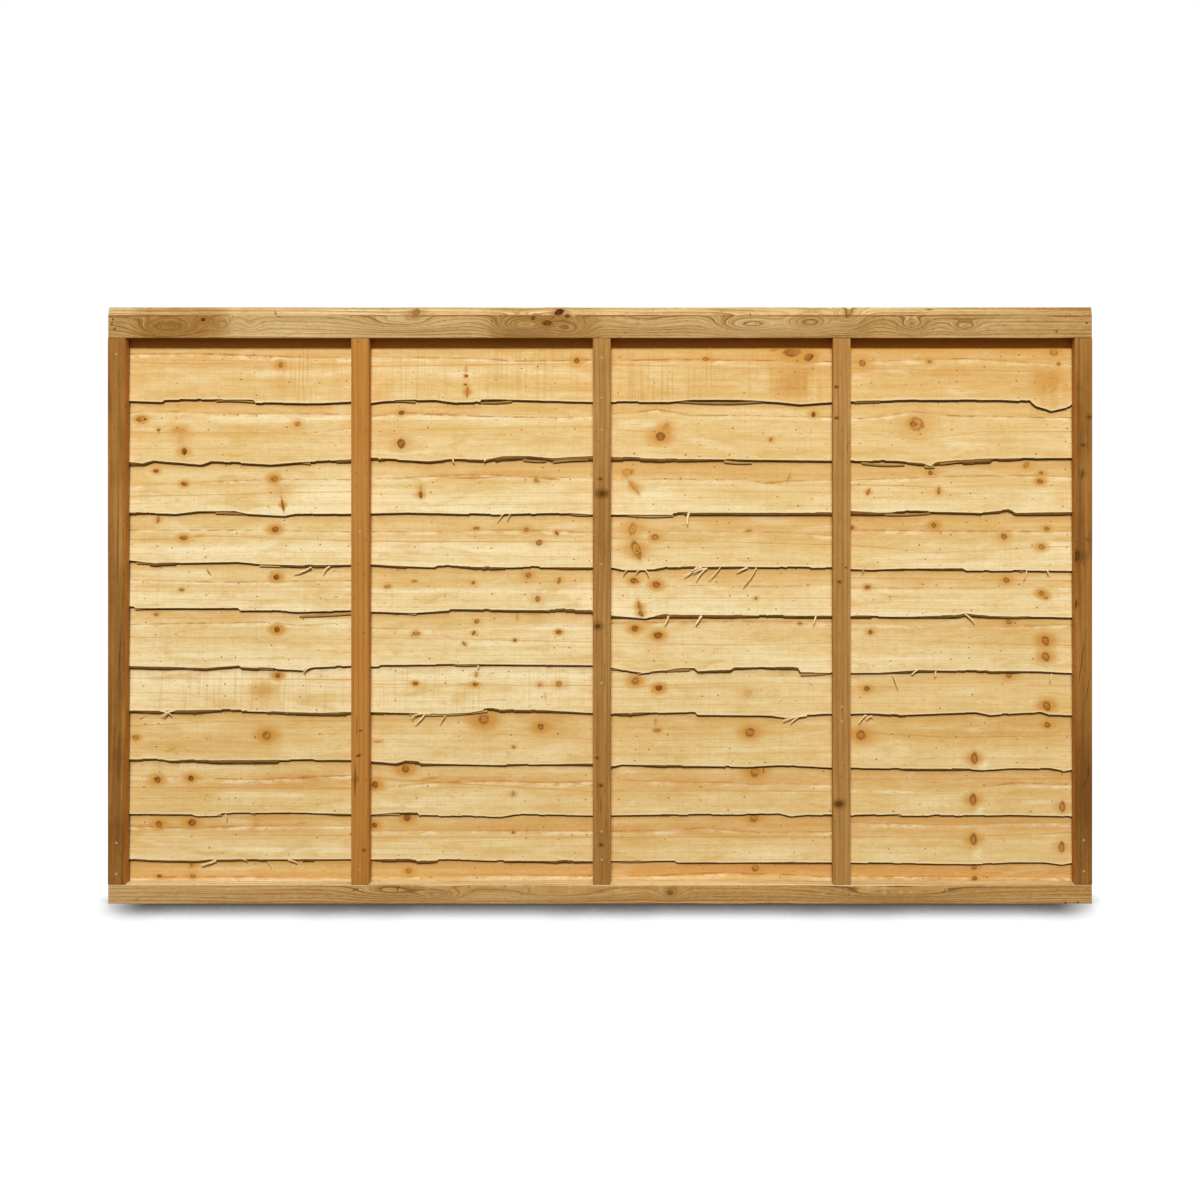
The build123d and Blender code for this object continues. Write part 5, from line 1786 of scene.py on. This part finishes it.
            Streak(480, 829, 115, 7, -0.2, 0.85), Streak(480, 819, 80, 2.5, 0.3),
            Streak(480, 847, 115, 8, 0.15), Streak(720, 829, 115, 9, -0.22, 0.95),
            Streak(640, 822, 40, 2, 0.4), Streak(950, 826, 120, 8, -0.2, 0.7), Streak(720, 852, 110, 5, 0.15),
            Streak(200, 827, 110, 6, -0.16, 0.8), Streak(980, 823, 110, 6, -0.14, 0.8),
            # painted highlight: a small pale patch beside the knot
            Streak(977, 852, 5, 9, 0.35)),
        heart_line=((105, 826), (180, 829), (250, 827), (352, 827), (373, 832), (592, 832), (612, 832.5),
                    (660, 832), (700, 829), (760, 833), (830, 833), (851, 824), (960, 826), (1010, 824),
                    (1095, 824)),
        vein=((105, 836), (352, 836), (373, 838), (830, 838), (960, 838), (1095, 832))),
    WaneyBoard(11, 0.16, 0.33, -0.1, bark_run=0.0070, knots=(
        Knot(158.5, 877, 1.5, 1.8, 0, 0.8), Knot(192, 877, 1.5, 2, 0, 0.8),
        Knot(190.7, 865, 1.6, 1.9, 88, 1.0, 1.3), Knot(192, 872, 4.5, 2, 88, 0.15, 1.4),
        Knot(408, 872, 2.6, 1.1, 0, 0.5, 1.3), Knot(755.4, 869, 3.4, 1.1, 0, 0.6),
        Knot(974.5, 868, 2.6, 1.1, 0, 0.7), Knot(975, 879, 2.2, 1.1, 0, 0.7),
        Knot(268, 866, 0.5, 10, -52, 0.95, 0.0)), streaks=(
            Streak(250, 866, 70, 3, 0.35), Streak(250, 876, 110, 2.5, -0.15, 0.6),
            Streak(260, 881, 100, 2.4, 0.85), Streak(470, 868, 110, 3, 0.1, 0.5),
            Streak(470, 880, 110, 2.2, 0.5), Streak(500, 874, 80, 2.5, -0.2, 0.8),
            Streak(720, 870, 110, 5, -0.15, 0.7), Streak(720, 878, 110, 3, 0.38),
            Streak(950, 872, 110, 5, -0.1, 0.6)),
        heart_line=((105, 878), (250, 877), (352, 879), (373, 877), (592, 876), (612, 877.5),
                    (650, 876.5), (720, 873.5), (760, 874), (830, 878), (851, 877), (1095, 878)),
        warm=0.45),
)

BATTEN_KNOTS = {
    "left_end": (
        Knot(117.4, 550, 0.55, 110, 89, 0.75, 0.0), Knot(119.6, 655, 0.55, 75, 87, 0.8, 0.0),
        Knot(120, 697, 1.3, 1.3, 0, 0.95), Knot(124.2, 406, 1.2, 1.0, 0, 1.0),
        Knot(120.4, 615, 0.9, 1.2, 60, 0.9), Knot(118.6, 756, 2.4, 12, 88, 0.4),
        Knot(120.8, 803, 1.1, 1.1, 0, 0.9)),
    "left": (
        Knot(358.6, 755.6, 1.0, 2.6, 24, 1.0, 0.4), Knot(355.2, 780, 1.2, 18, 89, 0.45),
        Knot(356.6, 727, 0.5, 26, 89, 0.5, 0.0), Knot(364, 850.4, 0.8, 1.4, 60, 0.6),
        Knot(360.4, 730.4, 0.8, 1.0, 80, 0.6), Knot(360, 420, 0.6, 40, 90, 0.3, 0.0)),
    "middle": (
        Knot(602.2, 493.8, 2.2, 1.1, 0, 0.85, 1.6), Knot(597.8, 626.3, 2.0, 1.0, 0, 0.85),
        Knot(600.3, 479, 0.9, 1, 0, 1.0), Knot(601, 845, 1.0, 1, 0, 0.95),
        Knot(600.8, 785.5, 1.1, 1.2, 0, 0.7), Knot(601, 804, 0.55, 20, 88, 0.6, 0.0),
        Knot(604.8, 678, 0.5, 34, 90, 0.35, 0.0), Knot(597, 758, 0.9, 1.4, 80, 0.7)),
    "right": (
        Knot(839, 804, 2.2, 1.4, 8, 0.75, 1.2), Knot(836.4, 387, 0.9, 1.4, 0, 0.8),
        Knot(836.6, 418, 0.9, 1.2, 0, 0.8), Knot(847.4, 447, 0.5, 14, 90, 0.35, 0.0),
        Knot(839.4, 582, 0.9, 0.9, 0, 0.8), Knot(846, 567.6, 0.5, 2, 88, 0.6)),
    "right_end": (
        Knot(1076.6, 556, 3.4, 1.5, 85, 0.85, 1.4), Knot(1076.2, 604, 1.2, 5, 88, 0.9, 0.8),
        Knot(1082.4, 474, 1.2, 6, 85, 0.85), Knot(1089.3, 417, 1.4, 1.3, 60, 0.7),
        Knot(1088, 540, 1.0, 1.4, 80, 0.5), Knot(1083, 445, 1.2, 1.2, 0, 0.8),
        Knot(1082, 660, 0.6, 60, 82, 0.8, 0.0), Knot(1087.6, 690, 0.55, 40, 80, 0.7, 0.0),
        Knot(1084, 785, 1.4, 5, 60, 0.7), Knot(1088.5, 772, 1.0, 8, 85, 0.9),
        Knot(1078.6, 388, 1.4, 6, 88, 0.35)),
}

BATTEN_TONES = {"left_end": (0.42, 0.02, 0.0, 2.2), "left": (0.72, 0.5, 0.75, 1.0),
                "middle": (0.68, 0.5, 0.0, 0.7),
                "right": (0.8, 0.68, 0.05, 0.7), "right_end": (0.54, 0.06, 0.05, 2.0)}


@dataclass
class Panel:
    """The whole fence panel."""

    board_finish: BoardFinish = BoardFinish()
    rail_finish: RailFinish = RailFinish()
    batten_finish: BattenFinish = BattenFinish()
    nail_finish: NailFinish = NailFinish()

    def build(self) -> None:
        """Builds and dresses every piece, and logs each."""
        materials = TimberMaterials(Patterns())
        wood = materials.board(self.board_finish)
        above = None
        for board in BOARDS:
            board.above = above
            piece = board.build(wood)
            above = board
            log.info("%s: %d faces", piece.name, len(piece.data.polygons))
        rail_wood = materials.rail(self.rail_finish)
        top = Rail("top_rail", 0.01258, 0.041, 0.0155, 0.004, 0.6, slope_tone=0.28,
                   tone_steps=((110, -0.24), (132, -0.26), (146, -0.52), (212, -0.48), (232, 0.0),
                               (440, 0.02),
                               (480, -0.06), (498, -0.4), (545, -0.42), (590, -0.34), (610, -0.06),
                               (760, -0.02), (800, -0.16), (865, -0.22), (910, -0.04), (1000, -0.08),
                               (1092, -0.3)),
                   crown_steps=((110, 0.1), (161, 0.1), (259, -0.1), (356, -0.04), (454, -0.2), (495, 0.1),
                                (552, 0.36),
                                (650, 0.02), (747, -0.2), (845, 0.04), (943, -0.18), (1092, -0.3)),
                   swirls=(
                       Swirl(168, 329, 31, 9, 0.04, 0.95), Swirl(222, 326, 9, 6, 0.026, 0.8),
                       Swirl(250, 326, 10, 7, 0.012), Swirl(395, 324, 44, 8, 0.018),
                       Swirl(524, 326, 26, 9, 0.055, 1.0), Swirl(568, 330, 22, 10, 0.045, 1.0),
                       Swirl(640, 324, 40, 8, 0.012), Swirl(752, 326, 38, 9, 0.04, 0.8),
                       Swirl(812, 324, 24, 10, 0.05, 0.8), Swirl(850, 320, 16, 12, 0.03, 0.8),
                       Swirl(912, 326, 16, 7, 0.024, 0.7), Swirl(965, 327, 14, 5, 0.02, 0.8)),
                   knots=(
                       Knot(559, 312, 3.2, 1.5, 20, 1.0), Knot(567, 316, 1.8, 1.3, 0, 0.85),
                       Knot(416, 312, 3.6, 1, 0, 0.4), Knot(424, 316, 0.7, 12, 2, 0.8, 0.2),
                       Knot(275.2, 313, 0.8, 4.2, -68, 1.0, 0.0), Knot(279, 316.4, 0.5, 7, -3, 1.0, 0.0),
                       Knot(146, 316.4, 0.45, 70, 0, 0.7, 0.0), Knot(1068, 316.6, 0.45, 50, 0, 0.7, 0.0),
                       Knot(203, 319.5, 1.8, 1.3, 0, 0.95, 1.2), Knot(839, 310, 0.5, 4, 88, 1.0, 0.0),
                       Knot(930, 309.5, 0.7, 7, 0, 0.9, 0.2), Knot(995, 315, 0.4, 18, 3, 0.6, 0.0),
                       Knot(547, 323, 2.6, 1.7, 0, 0.75, 1.4), Knot(551, 319.5, 1.0, 11, 38, 0.9, 0.8),
                       Knot(533, 318, 1.8, 1.2, 60, 0.8)),
                   seed=1)
        # the bottom rail's ledge is painted lighter, standing in for light from above
        bottom = Rail("bottom_rail", 0.01258, 0.015, tone=0.54, ledge_painted_light=0.44, orange=0.36,
                      crown_steps=((110, -0.16), (161, -0.05), (259, -0.02), (356, -0.02), (430, 0.42),
                                   (560, 0.46), (650, 0.06),
                                   (747, 0.28), (845, 0.2), (943, -0.14), (1092, -0.3)),
                      tone_steps=((110, 0.26), (260, 0.04), (400, -0.08), (520, 0.18), (600, 0.06),
                                  (800, -0.08), (1092, -0.13)), swirls=(
                          Swirl(390, 893, 40, 7, 0.02), Swirl(440, 896, 24, 6, 0.03),
                          Swirl(560, 895, 60, 6, 0.016), Swirl(670, 893, 14, 6, 0.02),
                          Swirl(900, 894, 70, 6, 0.02)),
                      knots=(Knot(670, 892.5, 2.4, 1.4, 0, 0.5), Knot(1078, 902.6, 1.0, 1, 0, 1.0, 0.0),
                             Knot(1065.6, 903, 1.0, 1, 0, 1.0, 0.0),
                             Knot(355, 890, 0.6, 10, 24, 0.9, 0.3), Knot(398, 888, 0.8, 3, 60, 1.0, 0.3)),
                      seed=2)
        for rail in (top, bottom):
            piece = rail.build(rail_wood)
            log.info("%s: %d faces", piece.name, len(piece.data.polygons))
        batten_wood = materials.batten(self.batten_finish)
        for side in Side:
            for place, (name, (head, foot, gold, patchy)) in enumerate(BATTEN_TONES.items()):
                seed = place + (20 if side is Side.BACK else 1)
                knots = BATTEN_KNOTS[name] if side is Side.FRONT else ()
                piece = Batten(name, side, head, foot, gold, knots, patchy, seed=seed).build(batten_wood)
                log.info("%s: %d faces", piece.name, len(piece.data.polygons))
        steel = materials.nail("Bright nail steel", self.nail_finish, 0.35)
        iron = materials.nail("Dull nail iron", self.nail_finish, 0.6)
        for node, metal in (("board_nails", steel), ("batten_nails", steel), ("rail_nails", iron)):
            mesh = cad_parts[node].data
            mesh.materials.clear()
            mesh.materials.append(metal)
            log.info("%s: kept", node)


def main() -> None:
    """Builds the studio and the panel."""
    logging.basicConfig(level=logging.INFO, format="%(message)s")
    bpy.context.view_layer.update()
    Studio().build()
    Panel().build()


if __name__ == "__main__":
    main()
